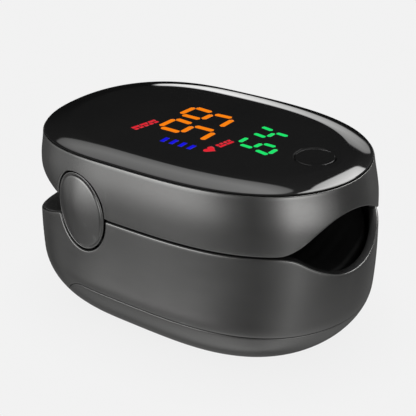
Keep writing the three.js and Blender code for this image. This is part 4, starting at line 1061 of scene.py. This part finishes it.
# finger pads
def pad(name, sign, prof_pts, zbase, x_front, body, node, slot_name, inset, stop):
    h = mirror_curve(prof_pts)
    nx, ny = 84, 73
    sk = lower if sign < 0 else upper
    ys = np.linspace(-1, 1, ny); ys = 12.4 * np.sin(ys * np.pi / 2 * 0.985) / math.sin(np.pi / 2 * 0.985)
    ss = np.linspace(-0.25, 0.25, 1600)
    q = sk.pos(ss % 1.0, np.full(1600, t_of_z(-3.0) if sign < 0 else 3.0)) - sk.nor(ss % 1.0, np.full(1600, t_of_z(-3.0) if sign < 0 else 3.0)) * inset
    o = np.argsort(q[:, 1])
    xf = np.minimum(np.interp(ys, q[o, 1], q[o, 0]), x_front)
    u = np.linspace(0, 1, nx)
    X = -9.4 + (xf[None, :] + 9.4) * u[:, None]; Y = np.broadcast_to(ys, X.shape)
    Z = h(Y)
    # towards the mouth the pad keeps just inside the shell's own edge
    wf_ = np.clip((X - 13.0) / 9.0, 0, 1); wf_ = wf_ * wf_ * (3 - 2 * wf_)
    Zm = (notch(Y) - 0.75) if sign < 0 else (arch(Y) - 0.55)
    Z = Z * (1 - wf_) + np.maximum(Z, Zm) * wf_
    lip = 0.7
    ex = np.clip((X - (xf[None, :] - lip)) / lip, 0, 1)
    Z = Z + sign * (1 - np.sqrt(np.clip(1 - ex ** 2, 0, 1))) * lip * 0.8
    st = 1 - np.clip((X + 9.4) / 2.6, 0, 1); st = st * st * (3 - 2 * st)
    Z = Z * (1 - st) + stop * st
    ey = np.clip((np.abs(Y) - 11.9) / 0.5, 0, 1); Z = Z + sign * (1 - np.sqrt(np.clip(1 - ey ** 2, 0, 1))) * 0.45
    # opening over the optics, with a rolled rim
    dx = np.maximum(np.abs(X - 6.0) - 2.5, 0); dy = np.maximum(np.abs(Y) - 2.3, 0)
    d = np.hypot(dx, dy)
    deep = 1 - np.clip((d - 0.9) / 0.55, 0, 1); deep = deep * deep * (3 - 2 * deep)
    Z = Z * (1 - deep) + (zbase - sign * 0.02 * 0 + (-sign) * 0.03) * deep
    # small soft ridges that grip the finger
    rid = 0.05 * np.cos((X - 11) * 2 * np.pi / 2.4) * np.clip((X - 10.6) / 1.0, 0, 1) * np.clip((xf[None, :] - 2.2 - X) / 1.0, 0, 1) * np.clip((9.5 - np.abs(Y)) / 3, 0, 1)
    Z = Z - sign * rid
    top = np.stack([X, Y, Z], -1).reshape(-1, 3)
    bot = np.stack([X, Y, np.full_like(X, zbase)], -1).reshape(-1, 3)
    f = []
    def I(i, j): return i * ny + j
    nb = nx * ny
    for i in range(nx - 1):
        for j in range(ny - 1):
            f.append((I(i, j), I(i + 1, j), I(i + 1, j + 1), I(i, j + 1)))
            f.append((nb + I(i, j), nb + I(i, j + 1), nb + I(i + 1, j + 1), nb + I(i + 1, j)))
    for i in range(nx - 1):
        f.append((I(i, 0), nb + I(i, 0), nb + I(i + 1, 0), I(i + 1, 0))); f.append((I(i, ny - 1), I(i + 1, ny - 1), nb + I(i + 1, ny - 1), nb + I(i, ny - 1)))
    for j in range(ny - 1):
        f.append((I(0, j), I(0, j + 1), nb + I(0, j + 1), nb + I(0, j))); f.append((I(nx - 1, j), nb + I(nx - 1, j), nb + I(nx - 1, j + 1), I(nx - 1, j + 1)))
    ob = mesh_object(name, np.vstack([top, bot]), f, [SILICONE], sharp_deg=60)
    piece(ob, body, "silicone", node)
pad("lower_finger_pad_soft", -1, [[12.4, -0.95], [11.6, -1.25], [10.4, -2.15], [9.1, -3.2], [7.7, -4.05], [5.85, -4.8], [3.4, -5.3], [0, -5.5]], -6.58, 27.6, "lower_half", "lower_finger_pad", "silicone", 2.0, 0.19)
pad("upper_finger_pad_soft", +1, [[12.4, 0.6], [11.5, 0.8], [10.5, 1.35], [9.17, 2.4], [7.41, 3.5], [5.46, 4.35], [3.3, 4.7], [0, 4.85]], 6.18, 28.0, "upper_half", "upper_finger_pad", "silicone", 2.0, 0.28)

# ------------------------------------------------------------------ display: lit segments just under the window's face
def seg_shape(p, q, w, cut=0.5, wob=None):
    """Bar from p to q with pointed, rounded ends."""
    p, q = np.array(p, float), np.array(q, float)
    d = q - p; L = np.linalg.norm(d); d /= L; n = np.array([-d[1], d[0]])
    r = w / 2; c = cut * r
    return [p - d * c * 0.0 + d * 0, p + d * c + n * r * 0.9, p + d * (c + 0.12) + n * r, q - d * (c + 0.12) + n * r, q - d * c + n * r * 0.9, q, q - d * c - n * r * 0.9, q - d * (c + 0.12) - n * r, p + d * (c + 0.12) - n * r, p + d * c - n * r * 0.9]
def prism_on_glass(builder, poly, mat, lift=0.012, thick=0.05):
    poly = np.array(poly, float); n = len(poly)
    zt_ = win_top(poly[:, 0], poly[:, 1])
    c = poly.mean(0); inner = c + (poly - c) * (1 - 0.03 / max(np.hypot(*(poly - c).T).mean(), 0.1))
    v = np.vstack([np.column_stack([poly, zt_ - thick]), np.column_stack([poly, zt_ + lift * 0.4]), np.column_stack([inner, win_top(inner[:, 0], inner[:, 1]) + lift])])
    f = [tuple(range(n))[::-1], tuple(range(2 * n, 3 * n))]
    for a in (0, n):
        for k in range(n):
            k2 = (k + 1) % n
            f.append((a + k, a + k2, a + n + k2, a + n + k))
    builder.add(v, f, mat)
SEGS = {
 "far": dict(A=[(-6.9, 2.45), (-6.59, 5.94)], B=[(-6.23, 6.05), (-2.82, 5.71)], G=[(-2.11, 4.94), (-2.29, 2.42)], F=[(-2.66, 2.18), (-6.36, 2.24)], C=[(-1.76, 5.29), (1.59, 5.48)], D=[(2.17, 4.9), (2.19, 1.46)]),
 "near": dict(A=[(-6.48, -3.67), (-6.25, -0.11)], B=[(-6.02, .16), (-2.67, -.19)], G=[(-1.8, -.97), (-1.79, -3.83)], F=[(-2.19, -4.08), (-5.95, -4.03)], C=[(-1.49, -.66), (2.27, -.66)], D=[(2.77, -1.19), (2.71, -4.55)]),
 "six": dict(A=[(8.34, -2.02), (8.45, .06)], F=[(9.01, -2.67), (11.28, -2.79)], G=[(11.38, -2.3), (11.62, -.56)], E=[(12.25, -3.11), (14.68, -3.55)], C=[(11.95, -.4), (14.13, -.43)], D=[(14.69, -3.08), (14.76, -1.07)]),
 "four": dict(B=[(7.97, 5.09), (10.21, 4.69)], F=[(8.39, 2.13), (10.72, 1.79)], G=[(10.92, 2.25), (11.0, 3.96)], C=[(11.3, 4.27), (13.48, 4.11)]),
 "bars": dict(a=[(-2.26, -8.56), (-2.3, -6.56)], b=[(-.53, -8.53), (-.48, -6.49)], c=[(1.31, -8.57), (1.34, -6.62)], d=[(3.08, -8.59), (3.2, -6.66)]),
}
db = Builder()
for grp, mat, w in (("far", 0, 1.02), ("near", 0, 1.02), ("six", 1, 0.8), ("four", 1, 0.8)):
    for k, (p, q) in SEGS[grp].items():
        prism_on_glass(db, seg_shape(p, q, w), mat)
for k, (p, q) in SEGS["bars"].items():
    p, q = np.array(p), np.array(q); n = np.array([0.40, 0]); q = p + (q - p) * 0.86
    prism_on_glass(db, [p - n, p + n, q + n, q - n], 3)
# small legends: rows of plain dashes, and a heart outline for the pulse
def dashes(x0, y0, x1, y1, count, w, gap, mat):
    d = np.array([x1 - x0, y1 - y0]); L = np.linalg.norm(d); d /= L; n = np.array([-d[1], d[0]])
    step = L / count
    for k in range(count):
        a = np.array([x0, y0]) + d * (k * step + gap / 2); b = a + d * (step - gap)
        prism_on_glass(db, [a - n * w / 2, b - n * w / 2, b + n * w / 2, a + n * w / 2], mat)
dashes(-9.95, -6.95, -8.8, -2.0, 3, 0.62, 0.26, 2)
dashes(-9.15, -7.15, -8.0, -2.2, 5, 0.62, 0.26, 2)
dashes(6.05, -5.3, 6.7, -2.1, 4, 0.55, 0.22, 2)
dashes(6.8, -5.4, 7.45, -2.3, 2, 0.55, 0.22, 2)
t = np.linspace(0, 2 * np.pi, 25)[:-1]
hx = 16 * np.sin(t) ** 3 / 17; hy = (13 * np.cos(t) - 5 * np.cos(2 * t) - 2 * np.cos(3 * t) - np.cos(4 * t)) / 17
heart = np.column_stack([6.1 - hy * 1.15, -6.9 + hx * 1.15])
prism_on_glass(db, heart, 2)
disp = db.make("display_segments", [ORANGE, GREEN_, RED, BLUE], smooth=False)
piece(disp, "upper_half", "display")

# ------------------------------------------------------------------ inside pieces
def lathe_piece(name, profile, n, centre, axis, mats, body, slot_name, node, deg=35):
    v, f = lathe(profile, n, centre, axis)
    return piece(mesh_object(name, v, f, mats, sharp_deg=deg), body, slot_name, node)
cell = [(0, 0), (4.6, 0), (4.75, 0.12), (4.8, 0.3), (5.1, 0.3), (5.22, 0.4), (5.25, 0.6), (5.25, 43.0), (5.2, 43.3), (5.05, 43.5), (4.7, 43.55), (4.6, 43.42), (2.3, 43.42), (2.05, 43.6), (1.92, 43.8), (1.9, 44.3), (1.75, 44.48), (0, 44.5)]
SLEEVE_A, SLEEVE_B = sleeve_finish("cell_sleeve_a", True), sleeve_finish("cell_sleeve_b", False)
for nm, x, y, ax, sl in (("a", 20.95, -5.6, "-x", SLEEVE_A), ("b", -21.1, 5.6, "x", SLEEVE_B)):
    v, f = lathe(cell, 64, (x, y, -13.2), ax)
    mi = []
    for q in f:
        r = np.hypot(v[list(q), 1] - y, v[list(q), 2] + 13.2).max()
        mi.append(0 if r > 5.0 else 1)
    ob = mesh_object("cell_%s_sleeved" % nm, v, f, [sl, STEEL], mi, sharp_deg=35)
    piece(ob, "lower_half", "cell_wrap", "cell_" + nm)
screw = [(0, -4), (0.35, -3.9), (0.62, -3.3)] + [(0.8 if k % 2 else 0.64, -3.2 + 0.2 * k) for k in range(15)] + [(0.8, -0.2), (0.8, 0), (1.6, 0), (1.75, 0.08), (1.75, 0.35), (1.6, 0.65), (1.2, 0.8), (0.62, 0.8), (0.6, 0.35), (0, 0.3)]
for (x, y), w in zip([(10, 14.3), (-19.4, 13.2)], ("front", "rear")):
    for side, s in (("left", 1), ("right", -1)):
        lathe_piece("chassis_screw_%s_%s_fine" % (w, side), screw, 32, (x, s * y, -6.58), "z", [STEEL], "lower_half", "steel", "chassis_screw_%s_%s" % (w, side))
for (x, y), w in zip([(9, 14.3), (-19.6, 12.4)], ("front", "rear")):
    for side, s in (("left", 1), ("right", -1)):
        lathe_piece("jaw_screw_%s_%s_fine" % (w, side), [(r, h * 0.74 if h < 0 else h) for r, h in screw], 32, (x, s * y, 6.18), "-z", [STEEL], "upper_half", "steel", "jaw_screw_%s_%s" % (w, side))
for side, s in (("left", 1), ("right", -1)):
    lathe_piece("hinge_pin_%s_fine" % side, [(0, 0), (1.4, 0), (1.5, 0.1), (1.5, 0.62), (1.42, 0.7), (1.0, 0.7), (1.0, 8.35), (0.85, 8.6), (0, 8.6)], 48, (HX, s * 7.1, 0), "y" if s > 0 else "-y", [STEEL], "lower_half", "steel", "hinge_pin_" + side)
    pts = [(-7.9, s * 8.4, -8.05), (-8.9, s * 8.4, -7.1), (-9.8, s * 8.4, -6.0), (-10.3, s * 8.4, -4.2), (HX + 2.25, s * 8.4, -2.2)]
    for i in range(0, 109):
        q = i / 108; a = -0.5 + q * 6 * math.pi + q * 0.9
        pts.append((HX + 1.95 * math.cos(a), s * (8.45 + q * 2.0), 1.95 * math.sin(a)))
    pts += [(HX + 1.9, s * 10.45, 3.0), (-10.0, s * 10.45, 4.6), (-9.3, s * 10.45, 5.9), (-7.9, s * 10.45, 7.45)]
    v, f = tube(smooth_path(pts, 0.22), 0.29, 10)
    ob = mesh_object("torsion_spring_%s_wire" % side, v, f, [SPRING])
    W((HX, 0, -2.6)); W((HX, 0, 2.6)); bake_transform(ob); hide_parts("torsion_spring_" + side)
for nm, x0, x1, y in (("front", 23.15, 21.3, -5.6), ("rear", -23.28, -21.45, 5.6)):
    pts = []
    for i in range(121):
        q = i / 120; a = q * 6 * math.pi; r = 3.3 - 1.1 * q
        pts.append((x0 + (x1 - x0) * q, y + r * math.cos(a), -13.2 + r * math.sin(a)))
    v, f = tube(pts, 0.25, 10)
    piece(mesh_object("cell_spring_%s_wire" % nm, v, f, [SPRING]), "lower_half", "spring_wire", "cell_spring_" + nm)
# flat cable as a bowed ribbon
mid = smooth_path([(-8.6, 0, -7.85), (-10.4, 0, -7.7), (-10.9, 0, -6.5), (-11.2, 0, -3.5), (-10.3, 0, 0), (-11.2, 0, 3.4), (-10.9, 0, 5.6), (-10.6, 0, 6.85)], 0.3)
tg = np.gradient(mid, axis=0); tg /= np.linalg.norm(tg, axis=1, keepdims=True)
nn = np.column_stack([-tg[:, 2], np.zeros(len(mid)), tg[:, 0]])
ysec = np.concatenate([np.linspace(-3.6, 3.6, 19)])
v, f = [], []
for layer in (0.02, 0.23):
    for k in range(len(mid)):
        for y in ysec: v.append(mid[k] + nn[k] * layer + np.array([0, y, 0]))
n1, n2 = len(mid), len(ysec); nb = n1 * n2
J = lambda i, j: i * n2 + j
for i in range(n1 - 1):
    for j in range(n2 - 1):
        f.append((J(i, j), J(i, j + 1), J(i + 1, j + 1), J(i + 1, j))); f.append((nb + J(i, j), nb + J(i + 1, j), nb + J(i + 1, j + 1), nb + J(i, j + 1)))
for i in range(n1 - 1):
    f.append((J(i, 0), J(i + 1, 0), nb + J(i + 1, 0), nb + J(i, 0))); f.append((J(i, n2 - 1), nb + J(i, n2 - 1), nb + J(i + 1, n2 - 1), J(i + 1, n2 - 1)))
for j in range(n2 - 1):
    f.append((J(0, j), nb + J(0, j), nb + J(0, j + 1), J(0, j + 1))); f.append((J(n1 - 1, j), J(n1 - 1, j + 1), nb + J(n1 - 1, j + 1), nb + J(n1 - 1, j)))
ob = mesh_object("flat_cable_ribbon", v, f, [CABLE], sharp_deg=50)
W((HX, 0, -5.5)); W((HX, 0, 4.5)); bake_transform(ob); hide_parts("flat_cable")
# moulded optics and packages
def box_piece(name, lo, hi, r, mats, body, slot_name, node, extra=()):
    b = Builder(); v, f = rounded_box(lo, hi, r); b.add(v, f)
    for lo2, hi2, r2, m2 in extra:
        v, f = rounded_box(lo2, hi2, r2); b.add(v, f, m2)
    return piece(b.make(name, mats, sharp_deg=45), body, slot_name, node)
box_piece("detector_window_lens", (3.0, -2.9, -6.55), (9.0, 2.9, -5.75), 0.25, [LENS_S], "lower_half", "sensor_lens", "detector_window")
box_piece("emitter_window_lens", (3.0, -2.9, 4.95), (9.0, 2.9, 5.75), 0.25, [LENS_E], "upper_half", "emitter_lens", "emitter_window")
box_piece("photodiode_body", (3.8, -2, -7.48), (8.2, 2, -6.6), 0.12, [CHIP, STEEL], "lower_half", "chip", "photodiode", [((4.6, -1.2, -6.68), (7.4, 1.2, -6.59), 0.03, 1)])
box_piece("emitter_led_body", (4.2, -1.5, 5.85), (7.8, 1.5, 7.1), 0.15, [LED, LENS_E], "upper_half", "led_body", "emitter_led", [((4.7, -1.0, 5.8), (7.3, 1.0, 6.0), 0.08, 1)])
box_piece("controller_chip_body", (-19.6, -3, 8.05), (-13.6, 3, 9.0), 0.12, [CHIP, STEEL], "upper_half", "chip", "controller_chip",
          [((-19.3 + 0.75 * k, s * 3.25 - 0.3, 7.97), (-19.0 + 0.75 * k, s * 3.25 + 0.15, 8.5), 0.06, 1) for k in range(8) for s in (1, -1)])
box_piece("cable_socket_body", (-12.7, -4.2, 7.97), (-11.7, 4.2, 8.9), 0.1, [SOCKET], "upper_half", "socket", "cable_socket")
lathe_piece("power_inductor_body", [(0, 0), (1.8, 0), (1.9, 0.1), (1.9, 0.35), (1.55, 0.45), (1.55, 0.85), (1.9, 0.95), (1.9, 1.15), (1.8, 1.3), (0, 1.3)], 40, (-16.6, 6.6, 7.97), "z", [FERRITE], "upper_half", "ferrite", "power_inductor")
# carried-over plates keep their shape and take their own finish
keep = {"lower_frame": CHASSIS, "upper_frame": CHASSIS, "main_board": BOARD, "sensor_board": BOARD, "contact_bridge": STEEL, "contact_plus": STEEL, "contact_minus": STEEL, "tact_switch": STEEL, "led_display_module": DISPLAY}
for n, m in keep.items():
    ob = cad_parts[n]
    if not ob.material_slots: ob.data.materials.append(m)
    for sl in ob.material_slots:
        sl.link = "OBJECT"; sl.material = m

# ------------------------------------------------------------------ studio
FLOOR = 0.885
scene = bpy.context.scene
scene.view_settings.view_transform = "Standard"
scene.view_settings.look = "None"
world = bpy.data.worlds.new("studio"); scene.world = world; world.use_nodes = True
nt = world.node_tree
for n in list(nt.nodes): nt.nodes.remove(n)
wo = nt.nodes.new("ShaderNodeOutputWorld")
tc = nt.nodes.new("ShaderNodeTexCoord").outputs["Generated"]

def softbox(az, el, w, h, r, soft, strength, power=1.0):
    """Rounded rectangle of light centred at azimuth az, elevation el (degrees, from +X towards +Y)."""
    rot = nt.nodes.new("ShaderNodeVectorRotate"); rot.rotation_type = "Z_AXIS"; rot.inputs["Angle"].default_value = -math.radians(az)
    nt.links.new(tc, rot.inputs["Vector"])
    sp = nt.nodes.new("ShaderNodeSeparateXYZ"); nt.links.new(rot.outputs[0], sp.inputs[0])
    a = math_(nt, "ABSOLUTE", math_(nt, "ARCTAN2", sp.outputs[1], sp.outputs[0]))
    e = math_(nt, "ABSOLUTE", math_(nt, "SUBTRACT", math_(nt, "ARCSINE", sp.outputs[2]), math.radians(el)))
    R = math.radians
    ax = math_(nt, "MAXIMUM", math_(nt, "SUBTRACT", a, R(w - r)), 0.0)
    ex = math_(nt, "MAXIMUM", math_(nt, "SUBTRACT", e, R(h - r)), 0.0)
    d = math_(nt, "SQRT", math_(nt, "ADD", math_(nt, "MULTIPLY", ax, ax), math_(nt, "MULTIPLY", ex, ex)))
    return math_(nt, "MULTIPLY", span(nt, d, R(r + soft), R(r - min(soft, r)), 0.0, 1.0, True), strength)

def panel(pts, soft, strength, fade=None, along=None):
    """Straight-edged panel of light: convex outline of (azimuth, elevation) points, edges soft over some degrees."""
    sp = nt.nodes.new("ShaderNodeSeparateXYZ"); nt.links.new(tc, sp.inputs[0])
    az = math_(nt, "MULTIPLY", math_(nt, "ARCTAN2", sp.outputs[1], sp.outputs[0]), 180 / math.pi)
    el = math_(nt, "MULTIPLY", math_(nt, "ARCSINE", sp.outputs[2]), 180 / math.pi)
    c = np.mean(pts, axis=0); d = None
    for k in range(len(pts)):
        a, b = np.array(pts[k], float), np.array(pts[(k + 1) % len(pts)], float)
        e = b - a; n = np.array([e[1], -e[0]]) / np.hypot(*e)
        if np.dot(n, c - a) > 0: n = -n
        q = math_(nt, "SUBTRACT", math_(nt, "ADD", math_(nt, "MULTIPLY", az, float(n[0])), math_(nt, "MULTIPLY", el, float(n[1]))), float(np.dot(n, a)))
        d = q if d is None else math_(nt, "SMOOTH_MAX", d, q, 2.0)
    v = span(nt, d, soft / 2, -soft / 2, 0.0, 1.0, True)
    if fade: v = math_(nt, "MULTIPLY", v, span(nt, d, 0.0, -fade[0], fade[1], 1.0))
    if along: v = math_(nt, "MULTIPLY", v, span(nt, az, along[0], along[2], along[1], along[3]))
    return math_(nt, "MULTIPLY", v, strength)

def ramp_el(stops):
    """Base glow by elevation: [(elevation, value)]."""
    sp = nt.nodes.new("ShaderNodeSeparateXYZ"); nt.links.new(tc, sp.inputs[0])
    el = math_(nt, "ARCSINE", sp.outputs[2])
    f = math_(nt, "ADD", math_(nt, "MULTIPLY", el, 1 / math.pi), 0.5)
    r = nt.nodes.new("ShaderNodeFloatCurve")
    c = r.mapping.curves[0]
    top = 10.0
    pts = [(0.5 + e / 180.0, v / top) for e, v in stops]
    while len(c.points) < len(pts): c.points.new(0.5, 0.5)
    for p, (x, y) in zip(c.points, pts): p.location = (x, y)
    r.mapping.update()
    nt.links.new(f, r.inputs["Value"])
    return math_(nt, "MULTIPLY", r.outputs[0], top)

def band(centre, half, values, open_below=False):
    """Soft wrap of light round the set at one height: strengths by azimuth, evenly spaced from -180."""
    sp = nt.nodes.new("ShaderNodeSeparateXYZ"); nt.links.new(tc, sp.inputs[0])
    az = math_(nt, "ARCTAN2", sp.outputs[1], sp.outputs[0]); el = math_(nt, "ARCSINE", sp.outputs[2])
    u = math_(nt, "ADD", math_(nt, "MULTIPLY", az, 0.5 / math.pi), 0.5)
    r = nt.nodes.new("ShaderNodeFloatCurve"); c = r.mapping.curves[0]; top = 10.0
    pts = [(k / len(values), v / top) for k, v in enumerate(values)] + [(1.0, values[0] / top)]
    while len(c.points) < len(pts): c.points.new(0.5, 0.5)
    for p, (x, y) in zip(c.points, pts): p.location = (x, y); p.handle_type = "VECTOR"
    r.mapping.update()
    nt.links.new(u, r.inputs["Value"])
    d = math_(nt, "SUBTRACT", el, math.radians(centre))
    if open_below: d = math_(nt, "MAXIMUM", d, 0.0)
    w = math_(nt, "MAXIMUM", math_(nt, "SUBTRACT", 1.0, math_(nt, "DIVIDE", math_(nt, "ABSOLUTE", d), math.radians(half))), 0.0)
    return math_(nt, "MULTIPLY", math_(nt, "MULTIPLY", r.outputs[0], top), w)

# soft wrap: one broad box front left, a narrower one to the right, dim elsewhere, light off the floor
total = ramp_el([(-90, 0.0), (-30, 0.0), (0, 0.0), (12, 0.0), (30, 0.04), (50, 0.12), (75, 0.5), (90, 0.6)])
for bn in (
    (26, 26, [0.0, 0.0, 0.0, 0.0, 0.0, 0.24, 0.77, 0.5, 0.0, 0.0]),
    (0, 26, [0.4, 1.5, 1.62, 6.84, 6.6, 1.14, 0.0, 0.66, 4.94, 4.08, 1.65, 0.16, 0.05, 0.19, 0.5, 0.05, 0.0, 0.0, 0.0, 0.1]),
    (-26, 26, [0.05, 0.2, 0.05, 0.4, 0.25, 0.08, 0.0, 0.18, 0.7, 0.2, 0.08, 0.12, 0.22, 0.15, 0.16, 0.18, 0.08, 0.05, 0.05, 0.1]),
    (-55, 29, [0.17, 0.8, 0.9, 0.55, 0.92, 0.75, 0.48, 0.33, 0.13, 0.2], True)):
    total = math_(nt, "ADD", total, band(*bn))
# panels high behind, seen in the pane's rolled edge
for pn in (
    ([(114.5, 50.4), (146.4, 28.0), (151, 30), (158, 46), (158, 64), (114.5, 64)], 0.9, 2.25, (5, 0.5), (124, 1.22, 148, 0.58)),
    ([(109.8, 47), (104.9, 31.6), (96, 32), (72, 44), (72, 72), (102, 72), (108.5, 58)], 0.9, 8.6, (6, 0.6)),
    ):
    total = math_(nt, "ADD", total, panel(*pn))
low_a = panel([(130.2, 16.2), (105.5, 18.4), (109.5, 14.3), (116.5, 5.2), (121, 1.6), (130.2, 3.2)], 0.9, 2.7, (7, 0.5), (117, 1.0, 128, 1.5))
low_b = panel([(106.3, 23.4), (112.5, 21.3), (118, 17), (119, 12), (109.5, 14.3), (104.6, 21.3)], 0.9, 2.0, (5, 0.6))
total = math_(nt, "ADD", total, math_(nt, "MAXIMUM", low_a, low_b))
cam_bg = nt.nodes.new("ShaderNodeBackground"); cam_bg.inputs[0].default_value = (0.886, 0.886, 0.886, 1); cam_bg.inputs[1].default_value = 1.0
env = nt.nodes.new("ShaderNodeBackground"); env.inputs[0].default_value = (1.0, 0.998, 0.99, 1)
nt.links.new(total, env.inputs[1])
lp = nt.nodes.new("ShaderNodeLightPath")
mx = nt.nodes.new("ShaderNodeMixShader")
nt.links.new(lp.outputs["Is Camera Ray"], mx.inputs[0]); nt.links.new(env.outputs[0], mx.inputs[1]); nt.links.new(cam_bg.outputs[0], mx.inputs[2])
nt.links.new(mx.outputs[0], wo.inputs[0])

# floor: plain and pale, lit evenly; a faint contact shade under the body
fm = bpy.data.materials.new("floor_pale"); fm.use_nodes = True; nt2 = fm.node_tree
for n in list(nt2.nodes): nt2.nodes.remove(n)
fo = nt2.nodes.new("ShaderNodeOutputMaterial"); fe = nt2.nodes.new("ShaderNodeEmission")
ao = nt2.nodes.new("ShaderNodeAmbientOcclusion"); ao.inputs["Distance"].default_value = 0.012; ao.samples = 8
nt2.links.new(span(nt2, ao.outputs["AO"], 0.0, 1.0, 0.84, 0.886), fe.inputs[1])
nt2.links.new(fe.outputs[0], fo.inputs[0])
me = bpy.data.meshes.new("floor")
bm = bmesh.new(); bmesh.ops.create_grid(bm, x_segments=8, y_segments=8, size=1.5); bm.to_mesh(me); bm.free()
floor = bpy.data.objects.new("floor", me); me.materials.append(fm); scene.collection.objects.link(floor)
floor.location = (0, 0, -0.0002)
floor.visible_glossy = False; floor.visible_diffuse = False; floor.visible_transmission = False; floor.visible_shadow = False

key = bpy.data.lights.new("overhead_soft", "AREA"); key.shape = "DISK"; key.size = 0.5; key.energy = 0.25
ko = bpy.data.objects.new("overhead_soft", key); scene.collection.objects.link(ko); ko.location = (-0.05, -0.25, 0.7)
ko.rotation_euler = (Vector((0, 0, 0.02)) - ko.location).to_track_quat("-Z", "Y").to_euler()
ko.visible_glossy = False

cam = bpy.data.cameras.new("camera"); cam.lens = 87.02; cam.sensor_width = 36; cam.clip_start = 0.01; cam.clip_end = 10
co = bpy.data.objects.new("camera", cam); scene.collection.objects.link(co)
Rm = Matrix(((0.80452576, -0.25225836, 0.53768395), (0.59324466, 0.38441333, -0.70730981), (-0.02826807, 0.88802709, 0.45892135)))
co.matrix_world = Matrix.Translation(Vector((0.093298, -0.121906, 0.097312))) @ Rm.to_4x4()
scene.camera = co
